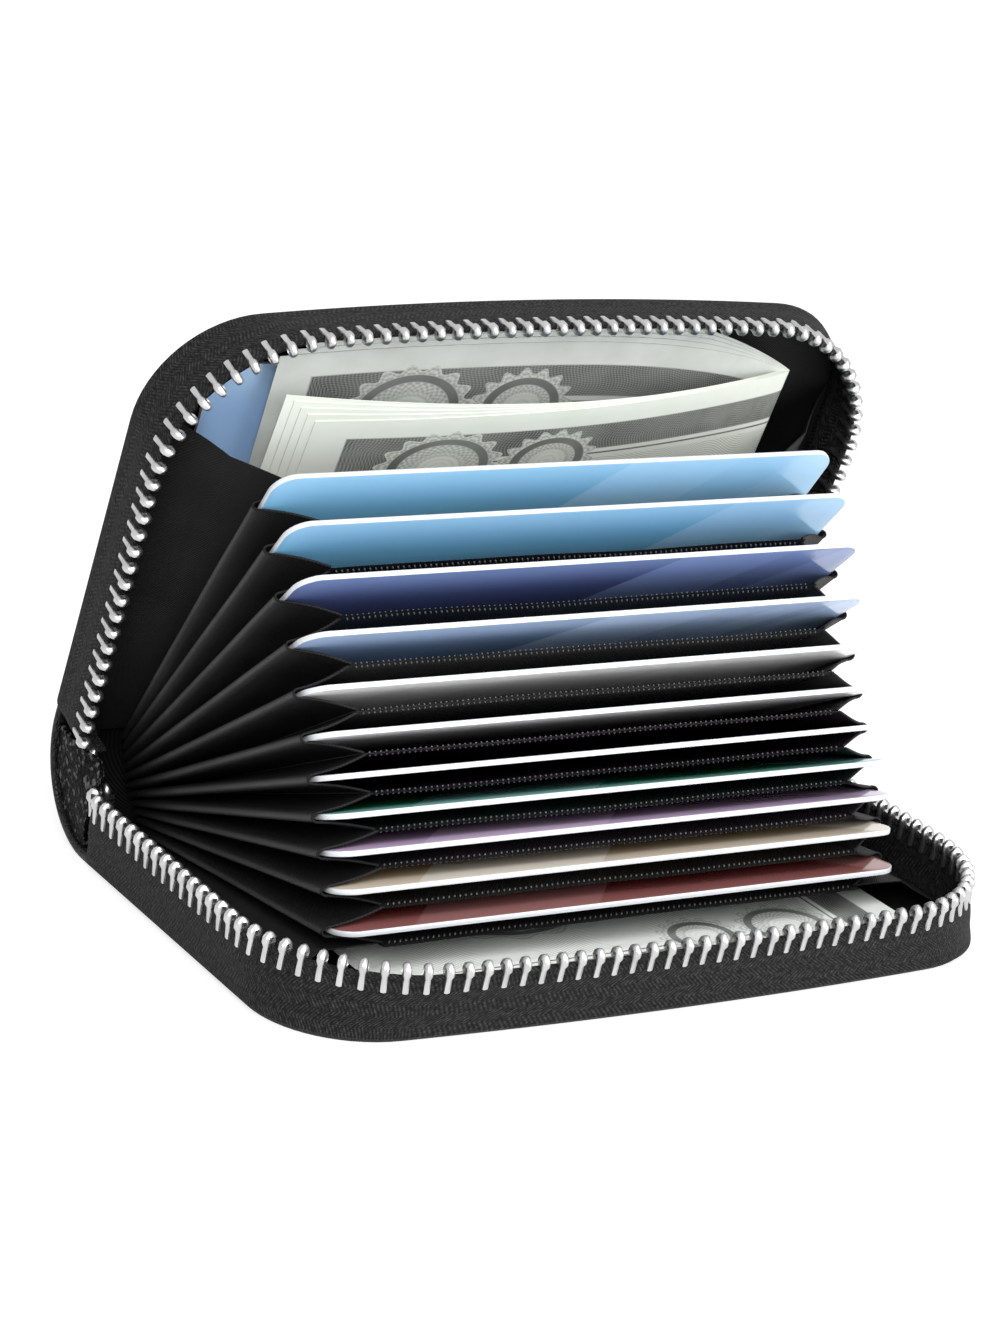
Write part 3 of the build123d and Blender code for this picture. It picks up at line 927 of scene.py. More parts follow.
def spine_skin(share, x, lift=0.0):
    # share 0 is the lower hinge line and 1 the middle of the spine
    angle = -arc_turn * (1 - share)
    radius = arc_radius + lift
    return spine_place(-(radius * math.cos(angle) - arc_centre), radius * math.sin(angle), x)


def front_edge_y(x, inset):
    # the outline's front at a distance from the middle
    centre_y, corner_x, corner_y, turn = corner_of(half_width, cover_depth, corner_radius)
    inner = corner_radius - inset
    if abs(x) > corner_x + inner * math.cos(turn):
        side = min(1, (abs(x) - corner_x) / inner)
        return corner_y - inner * math.sqrt(max(0, 1 - side * side))
    return centre_y - math.sqrt((bow_radius - inset) ** 2 - x * x)


def make_leather_half():
    spine_share = 0.22
    inner_half = half_width - roll
    edge_inset, edge_radius = 0.74 * MM, 0.52 * MM
    edge_half = half_width - edge_inset

    def place(u, v):
        # columns crowd towards the sides, where the corners are
        x = inner_half * math.sin((u - 0.5) * math.pi)
        if v < 1 - spine_share:
            t = v / (1 - spine_share)
            y0 = front_edge_y(x, roll)
            return Vector((x, y0 + (hinge_y - y0) * t, roll))
        return spine_skin((v - (1 - spine_share)) / spine_share, x)

    sheet = add_sheet("leather sheet", 64, 50, place)
    thicken(sheet, leather)
    clean(sheet)

    def rear_track(side, shares):
        # points up the spine's side, with the outward and the inward direction
        out = Vector((side, 0, 0))
        points = [spine_skin(share, 0) for share in shares]
        ups = [spine_skin(share, 0, -roll) - p for share, p in zip(shares, points)]
        return [(p + out * edge_half, out, up.normalized()) for p, up in zip(points, ups)]

    shares = [k / 12 for k in range(12, 0, -1)]
    lift = Vector((0, 0, roll))
    track = rear_track(-1, shares)
    track += [
        (point + lift, out, lift.normalized()) for point, out in outline_points(edge_inset, 0)
    ]
    track += rear_track(1, shares[::-1])
    last = len(track) - 1

    def around(u, v):
        point, out, up = track[round(u * last)]
        angle = v * math.tau
        return point + (out * math.cos(angle) + up * math.sin(angle)) * edge_radius

    edge = add_sheet("leather roll", last, 10, around)
    clean(edge, merge=0.01 * MM)
    return join("lower_leather", [sheet, edge])


lower_leather = smooth(make_leather_half(), 50)
upper_leather = smooth(mirrored(lower_leather, "upper_leather"), 50)
print("leather faces:", len(lower_leather.data.polygons))

# %% [markdown]
# A row of stitches runs inside the edge, where the tape is sewn between the
# leather and the lining. One stitch is a small block with its ends pinched by
# a bevel, and it is copied along the outline.

# %% Cover stitches


def make_stitch(length, thick):
    stitch = add_cube("one stitch", (length, thick, thick), (0, 0, 0))
    add_modifier(stitch, "BEVEL", width=thick * 0.3, segments=1)
    return stitch


def length_track(points):
    track, total = [(0.0, *points[0])], 0.0
    for (a, _), (b, out) in zip(points, points[1:]):
        total += (b - a).length
        track.append((total, b, out))
    return track


def at_length(track, length):
    for (a, p, n), (b, q, m) in zip(track, track[1:]):
        if a <= length <= b:
            f = (length - a) / (b - a)
            return p.lerp(q, f), n.lerp(m, f).normalized()
    return track[-1][1], track[-1][2]


def stitch_places(inset, height, pitch, rear):
    track = length_track(outline_points(inset, rear))
    places = []
    length = pitch
    while length < track[-1][0] - pitch:
        point, out = at_length(track, length)
        along = Vector((-out.y, out.x, 0))
        turn = Matrix((along, out, Vector((0, 0, 1)))).transposed().to_4x4()
        places.append(Matrix.Translation(point + Vector((0, 0, height))) @ turn)
        length += pitch
    return places


cover_stitch = make_stitch(2.1 * MM, 0.5 * MM)
seam_places = stitch_places(inset=3.2 * MM, height=0.14 * MM, pitch=2.7 * MM, rear=4 * MM)
lower_seam = spread("lower_cover_stitches", cover_stitch, seam_places)
upper_seam = mirrored(lower_seam, "upper_cover_stitches")
drop(cover_stitch)
for seam, body in ((lower_seam, "bottom_cover"), (upper_seam, "top_cover")):
    dress(smooth(clean(seam)), cover_thread, body)
print("cover stitches:", len(seam_places))

# %% [markdown]
# Each half of the leather is dressed in place. It stands in for the spine's
# node as well as the lower cover's, because the spine is the same skin.

# %% Dress the leather
for skin, cover, nodes in (
    (lower_leather, "bottom_cover", ("bottom_cover_leather", "spine_leather")),
    (upper_leather, "top_cover", ("top_cover_leather",)),
):
    dress(skin, leather_skin, nodes=nodes)
    near = Vector((0, hinge_y - 3 * MM, hinge_z))
    far = spine_skin(0.4, 0)
    if cover == "top_cover":
        near, far = mirror_up @ near, mirror_up @ far
    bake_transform(skin)
    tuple(near)
    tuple(far)

# %% [markdown]
# ## Zip tapes
# Each tape is a woven ribbon bound over the leather's edge. It turns up,
# bulges a little and ends in a thick woven cord that the teeth grip. A grid
# follows the outline in one direction and the ribbon's width in the other. At
# the left end of the spine the tape curls inwards, where it is tucked away.

# %% Zip tapes
tape_foot, tape_rim = 0.55 * MM, 8.9 * MM
cord_radius, cord_girth = 0.46 * MM, 2.9 * MM
tape_rear, curl_radius, curl_turn, curl_steps = 3.4 * MM, 3.0 * MM, 1.9, 12


def curled(points, radius):
    # the tape's left end turns inwards about a line just inside the outline
    start = points[0][0]
    curl = []
    for k in range(curl_steps, 0, -1):
        angle = curl_turn * k / curl_steps
        out = Vector((-math.cos(angle), math.sin(angle), 0))
        curl.append((start + Vector((radius, 0, 0)) + out * radius, out))
    return curl + points


tape_outline = {"inset": 0.7 * MM, "rear_left": tape_rear, "rear_right": 0.8 * MM}
foot_points = curled(outline_points(**tape_outline), curl_radius - lean_side)
rim_points = curled(outline_points(**tape_outline, lean=1.0), curl_radius)
rim_track = length_track(rim_points)
curl_length = rim_track[curl_steps][0]
last_column = len(rim_points) - 1


def tape_place(column, share, outward=0.0):
    foot, out = foot_points[column]
    rim, _ = rim_points[column]
    point = foot.lerp(rim, share)
    point.z = tape_foot + (tape_rim - tape_foot) * share
    return point + out * outward


def tape_bulge(share):
    # in millimetres: the foot is bound over the leather and tucked in at the very
    # bottom, and the ribbon above it has a slight belly
    bound = 0.72 * max(0, 1 - share / 0.34) ** 1.3
    tucked = 0.5 * max(0, 1 - share / 0.05) ** 2
    belly = 0.42 * math.sin(math.pi * min(1, share * 1.15)) ** 0.8
    return (bound - tucked + belly) * MM


def make_tape():
    gripped_from, cord_at = 0.87, 0.985

    def place(u, v):
        # the belly ends where the teeth grip the ribbon
        bulge = tape_bulge(v) if v < gripped_from else 0
        return tape_place(round(u * last_column), v, bulge)

    def lengths(u, v):
        return rim_track[round(u * last_column)][0], v * (tape_rim - tape_foot)

    ribbon = add_sheet("tape ribbon", last_column, 22, place, lengths)
    thicken(ribbon, 0.55 * MM)

    def around(u, v):
        column = round(u * last_column)
        angle = v * math.tau
        around_it = rim_points[column][1] * math.cos(angle) + Vector((0, 0, math.sin(angle)))
        return tape_place(column, cord_at) + around_it * cord_radius

    def around_lengths(u, v):
        return rim_track[round(u * last_column)][0], v * cord_girth

    cord = add_sheet("tape cord", last_column, 8, around, around_lengths)
    clean(cord, merge=0.01 * MM)
    return join("lower_tape", [ribbon, cord])


lower_tape = smooth(clean(make_tape()), 50)
upper_tape = smooth(mirrored(lower_tape, "upper_tape"), 50)
dress(lower_tape, tape_cloth, "bottom_cover", ("lower_zip_tape",))
dress(upper_tape, tape_cloth, "top_cover", ("upper_zip_tape",))
print("tape length:", round(rim_track[-1][0], 4))

# %% [markdown]
# ## Metal teeth
# A tooth straddles the cord with two slim legs and ends in a round head with
# a dimple in each side, where the next tooth's point locks in. It starts as a
# cube cut into nine on each face; two columns of its underside are drawn down
# into legs, each level of the head gets its own width, and the dimples are
# inset and their metal is darkened as painted shade. Few faces are enough,
# because there are a hundred and sixty teeth. Each tooth is turned by a tiny
# seeded amount, so that no two gleam alike.

# %% One tooth, then both chains
tooth_pitch = 2.6 * MM


def make_tooth():
    # X runs along the chain, Y through the tape and Z up out of it
    tooth = add_cube("one tooth", (2 * MM, 2 * MM, 2 * MM), (0, 0, 1.1 * MM))
    subdivide(tooth, 2)
    select_parts(
        tooth, "FACE", lambda f: f.normal.z < -0.9 and abs(f.center.y) > 0.5 * MM
    )
    bpy.ops.mesh.extrude_region_move(TRANSFORM_OT_translate={"value": (0, 0, -2.1 * MM)})
    bpy.ops.object.mode_set(mode="OBJECT")
    # half widths along the chain and through the tape at four heights of the head
    thick = [0.44, 0.6, 0.56, 0.36]
    deep = [0.72, 1.04, 0.92, 0.42]
    heights = [0.0, 0.62, 1.35, 1.85]
    for vertex in tooth.data.vertices:
        # the cube's points stand in four levels; the legs are below level 0
        i, j = vertex.co.x / MM, vertex.co.y / MM
        level = (vertex.co.z / MM - 0.1) / 2 * 3
        if level > -0.1:
            k = max(0, min(3, round(level)))
            corner = 0.8 if abs(i) > 0.9 and abs(j) > 0.9 else 1.0
            x, y = i * thick[k] * corner, j * deep[k] * corner
            crown = 0.16 if abs(i) < 0.5 and abs(j) < 0.5 and k == 3 else 0.0
            vertex.co = Vector((x, y, heights[k] + crown)) * MM
        else:
            y = math.copysign(0.28 if abs(j) < 0.5 else 0.66, j)
            vertex.co = Vector((i * 0.37, y, -1.9 if abs(i) > 0.5 else -2.0)) * MM
    select_parts(
        tooth,
        "FACE",
        lambda f: abs(f.normal.x) > 0.8
        and abs(f.center.y) < 0.2 * MM
        and 0.7 * MM < f.center.z < 1.3 * MM,
    )
    bpy.ops.mesh.inset(thickness=0.05 * MM, depth=-0.3 * MM, use_individual=True)
    bpy.ops.object.mode_set(mode="OBJECT")
    # the inset dimple faces take the second material, painted dark as shade
    for face in tooth.data.polygons:
        face.material_index = 1 if face.select else 0
    return tooth


def tooth_places(phase):
    start, bare_end = 1.6 * MM, 10.2 * MM
    rng = random.Random(7 + int(phase * 10))
    total = rim_track[-1][0]
    places = []
    # the first tooth of the straight run, and back from it round the curl
    length = curl_length + start - tape_rear + phase * tooth_pitch
    while length > tooth_pitch * 0.4:
        length -= tooth_pitch
    length += tooth_pitch
    while length <= total - bare_end:
        point, _ = at_length(rim_track, length)
        ahead, _ = at_length(rim_track, min(total, length + 0.2 * MM))
        behind, _ = at_length(rim_track, max(0, length - 0.2 * MM))
        along = (ahead - behind).normalized()
        column = min(range(len(rim_track)), key=lambda k: abs(rim_track[k][0] - length))
        rise = tape_place(column, 1.0) - tape_place(column, 0.0)
        rise -= along * rise.dot(along)
        rise.normalize()
        side = rise.cross(along).normalized()
        turn = Matrix((along, side, rise)).transposed().to_4x4()
        rim = Vector((point.x, point.y, tape_rim))
        wobble = Matrix.Rotation(math.radians(rng.uniform(-2.5, 2.5)), 4, "Z")
        places.append(Matrix.Translation(rim) @ turn @ wobble)
        length += tooth_pitch
    return places


tooth = make_tooth()
lower_teeth = spread("lower_teeth", tooth, tooth_places(0))
upper_first = spread("upper teeth first", tooth, tooth_places(0.5))
upper_teeth = mirrored(upper_first, "upper_teeth")
drop(upper_first)
print("one tooth has", len(tooth.data.polygons), "faces")
drop(tooth)
for chain, cover, node in (
    (lower_teeth, "bottom_cover", "lower_zip_teeth"),
    (upper_teeth, "top_cover", "upper_zip_teeth"),
):
    smooth(clean(chain), 60)
    # the dimples keep the second material, which paints their shade
    dimples = [face.material_index for face in chain.data.polygons]
    dress(chain, bright_metal, cover, (node,))
    chain.data.materials.append(dimple_shade_metal)
    chain.data.polygons.foreach_set("material_index", dimples)

# %% [markdown]
# ## Lining
# The lining is a thin satin sheet laid over the board. It is a grid cut to the
# cover's outline and puckered a little near the seams, because cloth that is
# glued and sewn is never quite flat.

# %% Lining


def make_lining():
    inset = 1.15 * MM
    rear_y = hinge_y - 3.5 * MM

    def place(u, v):
        x = (half_width - inset) * math.sin((u - 0.5) * math.pi)
        y0 = front_edge_y(x, inset)
        y = y0 + (rear_y - y0) * v
        edge = min(v, 1 - v, u, 1 - u) * 8
        pucker = soft_wave(x / MM * 0.5, y / MM * 0.35, 3) * 0.05 * MM * max(0, 1 - edge)
        return Vector((x, y, lining_top - 0.15 * MM + pucker))

    def lengths(u, v):
        point = place(u, v)
        return point.y, point.x

    return thicken(add_sheet("lower_lining", 60, 40, place, lengths), 0.2 * MM)


lower_lining = smooth(clean(make_lining()))
upper_lining = smooth(mirrored(lower_lining, "upper_lining"))
dress(lower_lining, lining_cloth, "bottom_cover", ("bottom_cover_lining",))
dress(upper_lining, lining_cloth, "top_cover", ("top_cover_lining",))
print("lining faces:", len(lower_lining.data.polygons))

# %% [markdown]
# ## Accordion dividers
# A divider is one layer of satin whose front edge is folded under and sewn.
# The grid runs from the root to the front, round the fold and back under it.
# The front edge wavers a little; the root and the sides are held straight.

# %% Dividers with their hems
divider_half, divider_depth, hem_depth = 36.5 * MM, 53.5 * MM, 2.6 * MM
hem_radius = 0.12 * MM
cloth = 0.12 * MM


def divider_front(index, x, distance):
    # how far the cloth's own unevenness moves its front edge out
    front = soft_wave(x / MM * 0.11, index * 1.3, index) * 0.25 * MM
    return front * (distance / divider_depth) ** 6


def divider_wave(index, x, distance):
    # the sides are sewn to the folds, so they are held straight
    share = distance / divider_depth
    free = min(1, (divider_half - abs(x)) / (8 * MM))
    wave = soft_wave(x / MM * 0.07, distance / MM * 0.03, index * 3 + 1) * 0.16 * MM
    return wave * free * share**3


def make_divider(index):
    run = divider_depth + math.pi * hem_radius + hem_depth
    bend_at = divider_depth - hem_radius

    def place(u, v):
        x = (u - 0.5) * 2 * divider_half
        past = v * run - bend_at
        if past < 0:
            distance, drop_by = bend_at + past, 0.0
        elif past < math.pi * hem_radius:
            turn = past / hem_radius
            distance = bend_at + hem_radius * math.sin(turn)
            drop_by = hem_radius * (1 - math.cos(turn))
        else:
            distance, drop_by = bend_at - (past - math.pi * hem_radius), 2 * hem_radius
        front = divider_front(index, x, distance)
        wave = divider_wave(index, x, distance)
        return Vector((x, -distance - front, cloth / 2 - drop_by + wave))

    def lengths(u, v):
        return v * run, (u - 0.5) * 2 * divider_half

    sheet = add_sheet(f"divider_sheet_{index + 1:02d}", 36, 40, place, lengths)
    thicken(sheet, cloth)
    sheet.data.transform(leaf_matrix(leaf_pivot(2 * index), divider_angles[index]))
    return smooth(clean(sheet), 60)


def make_hem_stitches(index, original):
    places = []
    pitch, margin = 0.8 * MM, 1.2 * MM
    count = int(2 * (divider_half - margin) / pitch)
    leaf = leaf_matrix(leaf_pivot(2 * index), divider_angles[index])
    slant = Matrix.Rotation(math.radians(58), 4, "Z")
    distance = divider_depth - 0.9 * MM
    for k in range(count + 1):
        x = -divider_half + margin + k * pitch
        front = divider_front(index, x, distance)
        wave = divider_wave(index, x, distance)
        for height in (0.14 * MM, -0.26 * MM):
            place = Vector((x, -distance - front, height + wave))
            places.append(leaf @ Matrix.Translation(place) @ slant)
    return spread(f"divider_stitches_{index + 1:02d}", original, places)


hem_stitch = make_stitch(0.7 * MM, 0.22 * MM)
for index in range(slots + 1):
    body = f"divider_{index + 1:02d}"
    divider = dress(make_divider(index), accordion_cloth, body, (body,))
    seam = smooth(clean(make_hem_stitches(index, hem_stitch)))
    dress(seam, hem_thread, body)
    for pressed in (divider, seam):
        leaf_pivot(2 * index)
        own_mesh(pressed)
drop(hem_stitch)
print("dividers:", slots + 1)

# %% [markdown]
# ## Side folds of the card slots
# At each side of a slot the cloth makes a V that opens as the accordion fans
# out. The fold at its point is rolled, never sharp. Each V rides with its slot.

# %% Side folds of the slots
fold_x = 44.6 * MM
inner_x = 36.2 * MM
slot_fold_run, slot_fold_cloth = 52 * MM, 18 * MM


def make_slot_fold(index):
    step_number = 2 * index + 1
    pivot, angle = leaf_pivot(step_number), slot_angles[index]
    # the rolled point takes this share of the cloth's width on either side
    nose_share, nose_length, nose_height = 0.3, 1.0 * MM, 0.62 * MM
    # how far the cloth's middle stands off the dividers above and below
    off_above, off_below = 0.075 * MM, 0.14 * MM
    sides = []
    for side in (-1, 1):
        fold_at = fold_x if side < 0 else fold_x - 0.7 * MM

        def place(u, v):
            t = (u - 0.5) * 2
            distance = 0.8 * MM + v * slot_fold_run
            upper = height_over(
                pivot, angle, distance, leaf_pivot(step_number - 1), divider_angles[index]
            )
            lower = -height_over(
                pivot, angle, distance, leaf_pivot(step_number + 1), divider_angles[index + 1]
            )
            wall = upper - off_above if t > 0 else lower - off_below
            nose = min(nose_height, wall * 0.9)
            if abs(t) < nose_share:
                turn = abs(t) / nose_share * math.pi / 2
                x = fold_at - nose_length * (1 - math.cos(turn))
                height = nose * math.sin(turn)
                reach = 0.0
            else:
                reach = (abs(t) - nose_share) / (1 - nose_share)
                nose_x = fold_at - nose_length
                x = nose_x - (nose_x - inner_x) * reach
                sag = math.sin(math.pi * reach) * 0.1 * (wall - nose) * v
                height = nose + (wall - nose) * reach**1.1 - sag
            wave = soft_wave(distance / MM * 0.12, t * 2, index * 5 + side) * 0.14 * MM * v
            # on the right the fold stands a little further back than the hems
            front = (4.5 if side > 0 else 0.2) * MM * (1 - reach) ** 1.2 * v**5
            return Vector((side * (x + wave), front - distance, math.copysign(height, t)))

        def lengths(u, v):
            return v * slot_fold_run, (u - 0.5) * slot_fold_cloth

        def rim(u, v):
            # a narrow rolled edge along the front of the cloth
            turn = v * math.tau
            front = Vector((0, -1, 0))
            ahead = (place(min(1, u + 0.01), 1.0) - place(max(0, u - 0.01), 1.0)).normalized()
            flat = ahead.cross(front).normalized()
            return place(u, 1.0) + (flat * math.cos(turn) + front * math.sin(turn)) * 0.17 * MM

        def rim_lengths(u, v):
            return v * 1.0 * MM, u * slot_fold_cloth

        sheet = add_sheet("slot fold side", 28, 30, place, lengths)
        sides.append(clean(thicken(sheet, 0.15 * MM)))
        edge = add_sheet("slot fold rim", 28, 6, rim, rim_lengths)
        sides.append(clean(edge, merge=0.01 * MM))
    piece = join(f"slot_fold_{index + 1:02d}", sides)
    piece.data.transform(leaf_matrix(pivot, angle))
    return smooth(piece, 60), pivot, angle


for index in range(slots):
    piece, pivot, angle = make_slot_fold(index)
    dress(
        piece,
        fold_cloth,
        f"slot_{index + 1:02d}",
        (f"slot_gusset_{index + 1:02d}",),
    )
    leaf_normal(angle)
    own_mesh(piece)
    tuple(pivot)
print("slot folds:", slots)

# %% [markdown]
# ## Side folds of the two paper pockets
# The large satin panel at each side of the upper pocket runs from the first
# divider out to a ridge and on to the zip tape. The lower pocket has the same
# fold, much flatter.

# %% Pocket side folds
pocket_fold_run, pocket_fold_cloth, tape_side_x = 50.5 * MM, 22 * MM, 52.2 * MM


def make_pocket_fold(name, step_number, angle, point, plane_angle, ridge_of):
    pivot = leaf_pivot(step_number)
    sign = 1 if plane_angle > angle else -1
    start, stand_off = sign * 0.1 * MM, sign * 0.25 * MM
    sides = []
    for side in (-1, 1):

        def place(u, v):
            distance = 1.5 * MM + v * pocket_fold_run
            wall = height_over(pivot, angle, distance, point, plane_angle) - stand_off
            ridge = ridge_of(distance)
            if u < 0.5:
                t = u / 0.5
                x = inner_x + (fold_x - inner_x) * t
                z = start + (ridge - start) * t
            else:
                t = (u - 0.5) / 0.5
                x = fold_x + (tape_side_x - fold_x) * t
                z = ridge + (wall - ridge) * t
            slack = math.sin(math.pi * t) * 0.5 * MM * v
            wave = soft_wave(distance / MM * 0.1, u * 5, side + step_number) * 0.35 * MM * v
            x += wave * 0.5 - slack * (1 if u > 0.5 else 0.3)
            return Vector((side * x, -distance, z + wave * 0.3 * sign))

        def lengths(u, v):
            return v * pocket_fold_run, u * pocket_fold_cloth

        sheet = add_sheet("pocket fold side", 28, 32, place, lengths)
        sides.append(clean(thicken(sheet, 0.16 * MM)))
    piece = join(name, sides)
    piece.data.transform(leaf_matrix(pivot, angle))
    return smooth(piece, 60), pivot


rise = leather / 2 - lining_top
turn = math.radians(open_angle)
upper_face = upper_hinge + Vector((0, rise * math.sin(turn), rise * math.cos(turn)))
lower_face = Vector((0, hinge_y - 3.5 * MM, lining_top))
for name, step_number, angle, point, plane_angle, ridge_of, body, node, keep in (
    (
        "upper_pocket_fold",
        0,
        divider_angles[0],
        upper_face,
        open_angle,
        lambda d: 0.16 * MM + d * math.tan(math.radians(6.0)),
        "divider_01",
        "upper_pocket_gusset",
        0.13,
    ),
    (
        "lower_pocket_fold",
        2 * slots,
        divider_angles[-1],
        lower_face,
        0.0,
        lambda d: -0.25 * MM,
        "divider_12",
        "lower_pocket_gusset",
        0.2,
    ),
):
    piece, pivot = make_pocket_fold(name, step_number, angle, point, plane_angle, ridge_of)
    dress(piece, accordion_cloth, body, (node,))
    leaf_normal(angle)
    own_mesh(piece)
    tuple(pivot)
print("pocket folds: 2")

# %% [markdown]
# ## Cards
# Every card has the same blank: a thin plate with round corners and a slightly
# softened edge that catches the light. A cube is bevelled twice, once for the
# corners and once for the edge, and its UV map is laid flat from above in
# metres, so that the print knows where the edge is.

# %% One blank, eleven cards and the tucked one
card_thick = 0.76 * MM


def make_card_blank():
    blank = add_cube("card blank", (card_width, card_depth, card_thick), (0, 0, 0))

    def upright(edge):
        a, b = (blank.data.vertices[i].co.z for i in edge.vertices)
        return abs(a - b) > 0.1 * MM

    for test, width, segments in (
        (upright, card_corner, 8),
        (lambda edge: not upright(edge), 0.16 * MM, 2),
    ):
        select_parts(blank, "EDGE", test)
        bpy.ops.mesh.bevel(offset=width, segments=segments, affect="EDGES")
        bpy.ops.object.mode_set(mode="OBJECT")
    layer = blank.data.uv_layers.active.data
    for loop in blank.data.loops:
        point = blank.data.vertices[loop.vertex_index].co
        layer[loop.index].uv = (point.x, point.y)
    return clean(blank)


card_blank = make_card_blank()
card_shift, card_setback = -0.6 * MM, 1.0 * MM
card_drawn = [3.61, 3.8, 3.04, 1.52] + [0.0] * 7
first_turned = 6  # the fifth card from the bottom and those below lie the other way up
for index, (tone, printed, light, shift) in enumerate(card_colours):
    middle = -(card_setback + card_drawn[index] * MM + card_depth / 2)
    leaf = leaf_matrix(leaf_pivot(2 * index + 1), slot_angles[index])
    place = leaf @ Matrix.Translation((card_shift, middle, 0))
    body = f"card_{index + 1:02d}"
    card = spread(f"bank_card_{index + 1:02d}", card_blank, [place])
    turned = index >= first_turned
    finish = make_card(f"{tone} card {index + 1}", printed, light, shift, turned)
    dress(smooth(card, 35), finish, body, (body,))

tucked_place = mirror_up @ Matrix.Translation(
    (-3 * MM, hinge_y - 3.7 * MM - card_depth / 2, lining_top + 0.15 * MM + card_thick / 2)
)
tucked = spread("bank_card_tucked", card_blank, [tucked_place])
tucked.data.flip_normals()
dress(smooth(tucked, 35), periwinkle, "tucked_card", ("tucked_card",))
drop(card_blank)
print("cards:", len(card_colours) + 1)

# %% [markdown]
# ## Paper notes
# The upper notes are several sheets folded once at the right and slipped into
# the pocket together, so their edges fan out at the left. Each sheet is a grid
# that runs along the front arm, round the fold and back along the rear arm.

# %% Upper notes, folded together
note_tilt, note_offset, paper_thick = 3.1, 3.05 * MM, 0.09 * MM
note_frame = leaf_matrix(upper_hinge, open_angle - note_tilt) @ Matrix.Translation(
    (0, 0, -note_offset)
)
note_right, note_left = 41 * MM, -38 * MM
note_near, note_far = 8.5 * MM, 60.5 * MM
note_sheets = [
    # how far in it sits, front arm's left end, rear arm's left end, front top, rear top
    (0.0, 5.4, 9.0, -4.2, 2.4),
    (0.13, 4.1, 6.5, -3.0, 1.9),
    (0.26, 2.9, 4.5, -1.9, 1.3),
    (0.39, 1.7, 2.5, -0.9, 0.6),
    (0.52, 0.4, 0.0, -0.1, -0.2),
]


def note_gap(away, distance):
    # half the space between the arms: none at the fold, most in the middle
    open_share = (distance - note_near) / (note_far - note_near)
    mouth = 0.5 * MM + 3.5 * MM * open_share
    return mouth * max(0.0, math.sin(math.pi * 0.82 * away**0.8)) ** 0.9


def make_note(index, inward, front_end, rear_end, front_top, rear_top):
    def place(u, v):
        rear = u > 0.5
        t = abs(u - 0.5) * 2
        left = note_left + (rear_end if rear else front_end) * MM
        right = note_right - inward * MM
        x = right - (right - left) * (1 - math.cos(t * math.pi / 2)) ** 0.85
        away = min(1, max(0, (right - x) / (right - note_left)))
        # the arm's upper edge in millimetres: both start at the fold's height, the
        # front one sags in the middle
        fold_top = -3.5
        if rear:
            top = fold_top * (1 - away) ** 8 + rear_top * min(1, 6 * away)
        else:
            top = fold_top - 1.8 * math.sin(math.pi * away) + front_top * away**2
        distance = note_near + (note_far + top * MM - note_near) * v
        gap = max(0.02 * MM, note_gap(away, distance) - inward * MM * 0.9)
        shared = soft_wave(x / MM * 0.07, distance / MM * 0.05, 2 + rear) * 0.16 * MM
        own = soft_wave(x / MM * 0.1, distance / MM * 0.04, index * 2) * 0.02 * MM
        wave = (shared + own) * v * min(1, away * 6)
        return Vector((x, -distance, gap * (1 if rear else -1) + wave))

    def lengths(u, v):
        return (u - 0.5) * note_length, (v - 0.5) * note_depth * 0.82 + 5.5 * MM

    sheet = add_sheet(f"upper_note_{index + 1}", 72, 14, place, lengths)
    thicken(sheet, paper_thick)
    sheet.data.transform(note_frame)
    return smooth(clean(sheet), 60)


for index, sizes in enumerate(note_sheets):
    note = make_note(index, *sizes)
    nodes = ("upper_notes",) if index == 0 else ()
    dress(note, upper_paper, "top_cover", nodes)
    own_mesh(note)
print("upper notes:", len(note_sheets))

# %% [markdown]
# The lower notes lie flat on the bottom lining. Their front edges are curled
# and not quite in line, as in a stack that has been pushed in by hand.

# %% Lower notes, lying flat


def make_lower_note(index, shift_x, shift_y, lift):
    half_x, depth = 40 * MM, 52.5 * MM
    rear, lowest = hinge_y - 8.6 * MM, lining_top + 0.06 * MM

    def place(u, v):
        x = 3 * MM + (u - 0.5) * 2 * half_x + shift_x * MM
        distance = v * depth
        curl = 0.22 * MM * (1 + soft_wave(x / MM * 0.08, 0.4, index + 2)) * v**5 * (0.4 + lift)
        y = rear - distance - shift_y * MM * v
        return Vector((x, y, lowest + index * 0.14 * MM + curl))

    def lengths(u, v):
        return (u - 0.5) * 2 * half_x + 38 * MM, (0.5 - v) * note_depth * 0.84 - 5 * MM

    sheet = add_sheet(f"lower_note_{index + 1}", 60, 30, place, lengths)
    return smooth(clean(thicken(sheet, paper_thick)), 60)


# shift to the side, shift to the rear and how much more the front edge curls
lower_sheets = [(0.0, 0.4, 0.0), (-0.8, -0.3, 0.5), (0.7, 0.3, 1.0)]
for index, (shift_x, shift_y, lift) in enumerate(lower_sheets):
    note = make_lower_note(index, shift_x, shift_y, lift)
    nodes = ("lower_notes",) if index == 0 else ()
    dress(note, lower_paper, "bottom_cover", nodes)
print("lower notes:", len(lower_sheets))

# %% [markdown]
# ## Spine ends
# A leather patch closes each end of the spine between the two tapes. The left
# one shows: it is pinched between the ends of the teeth, and small light specks
# are painted on its leather as glints. It is a fan-shaped grid, domed outwards
# and a little crumpled.

# %% Spine end patches


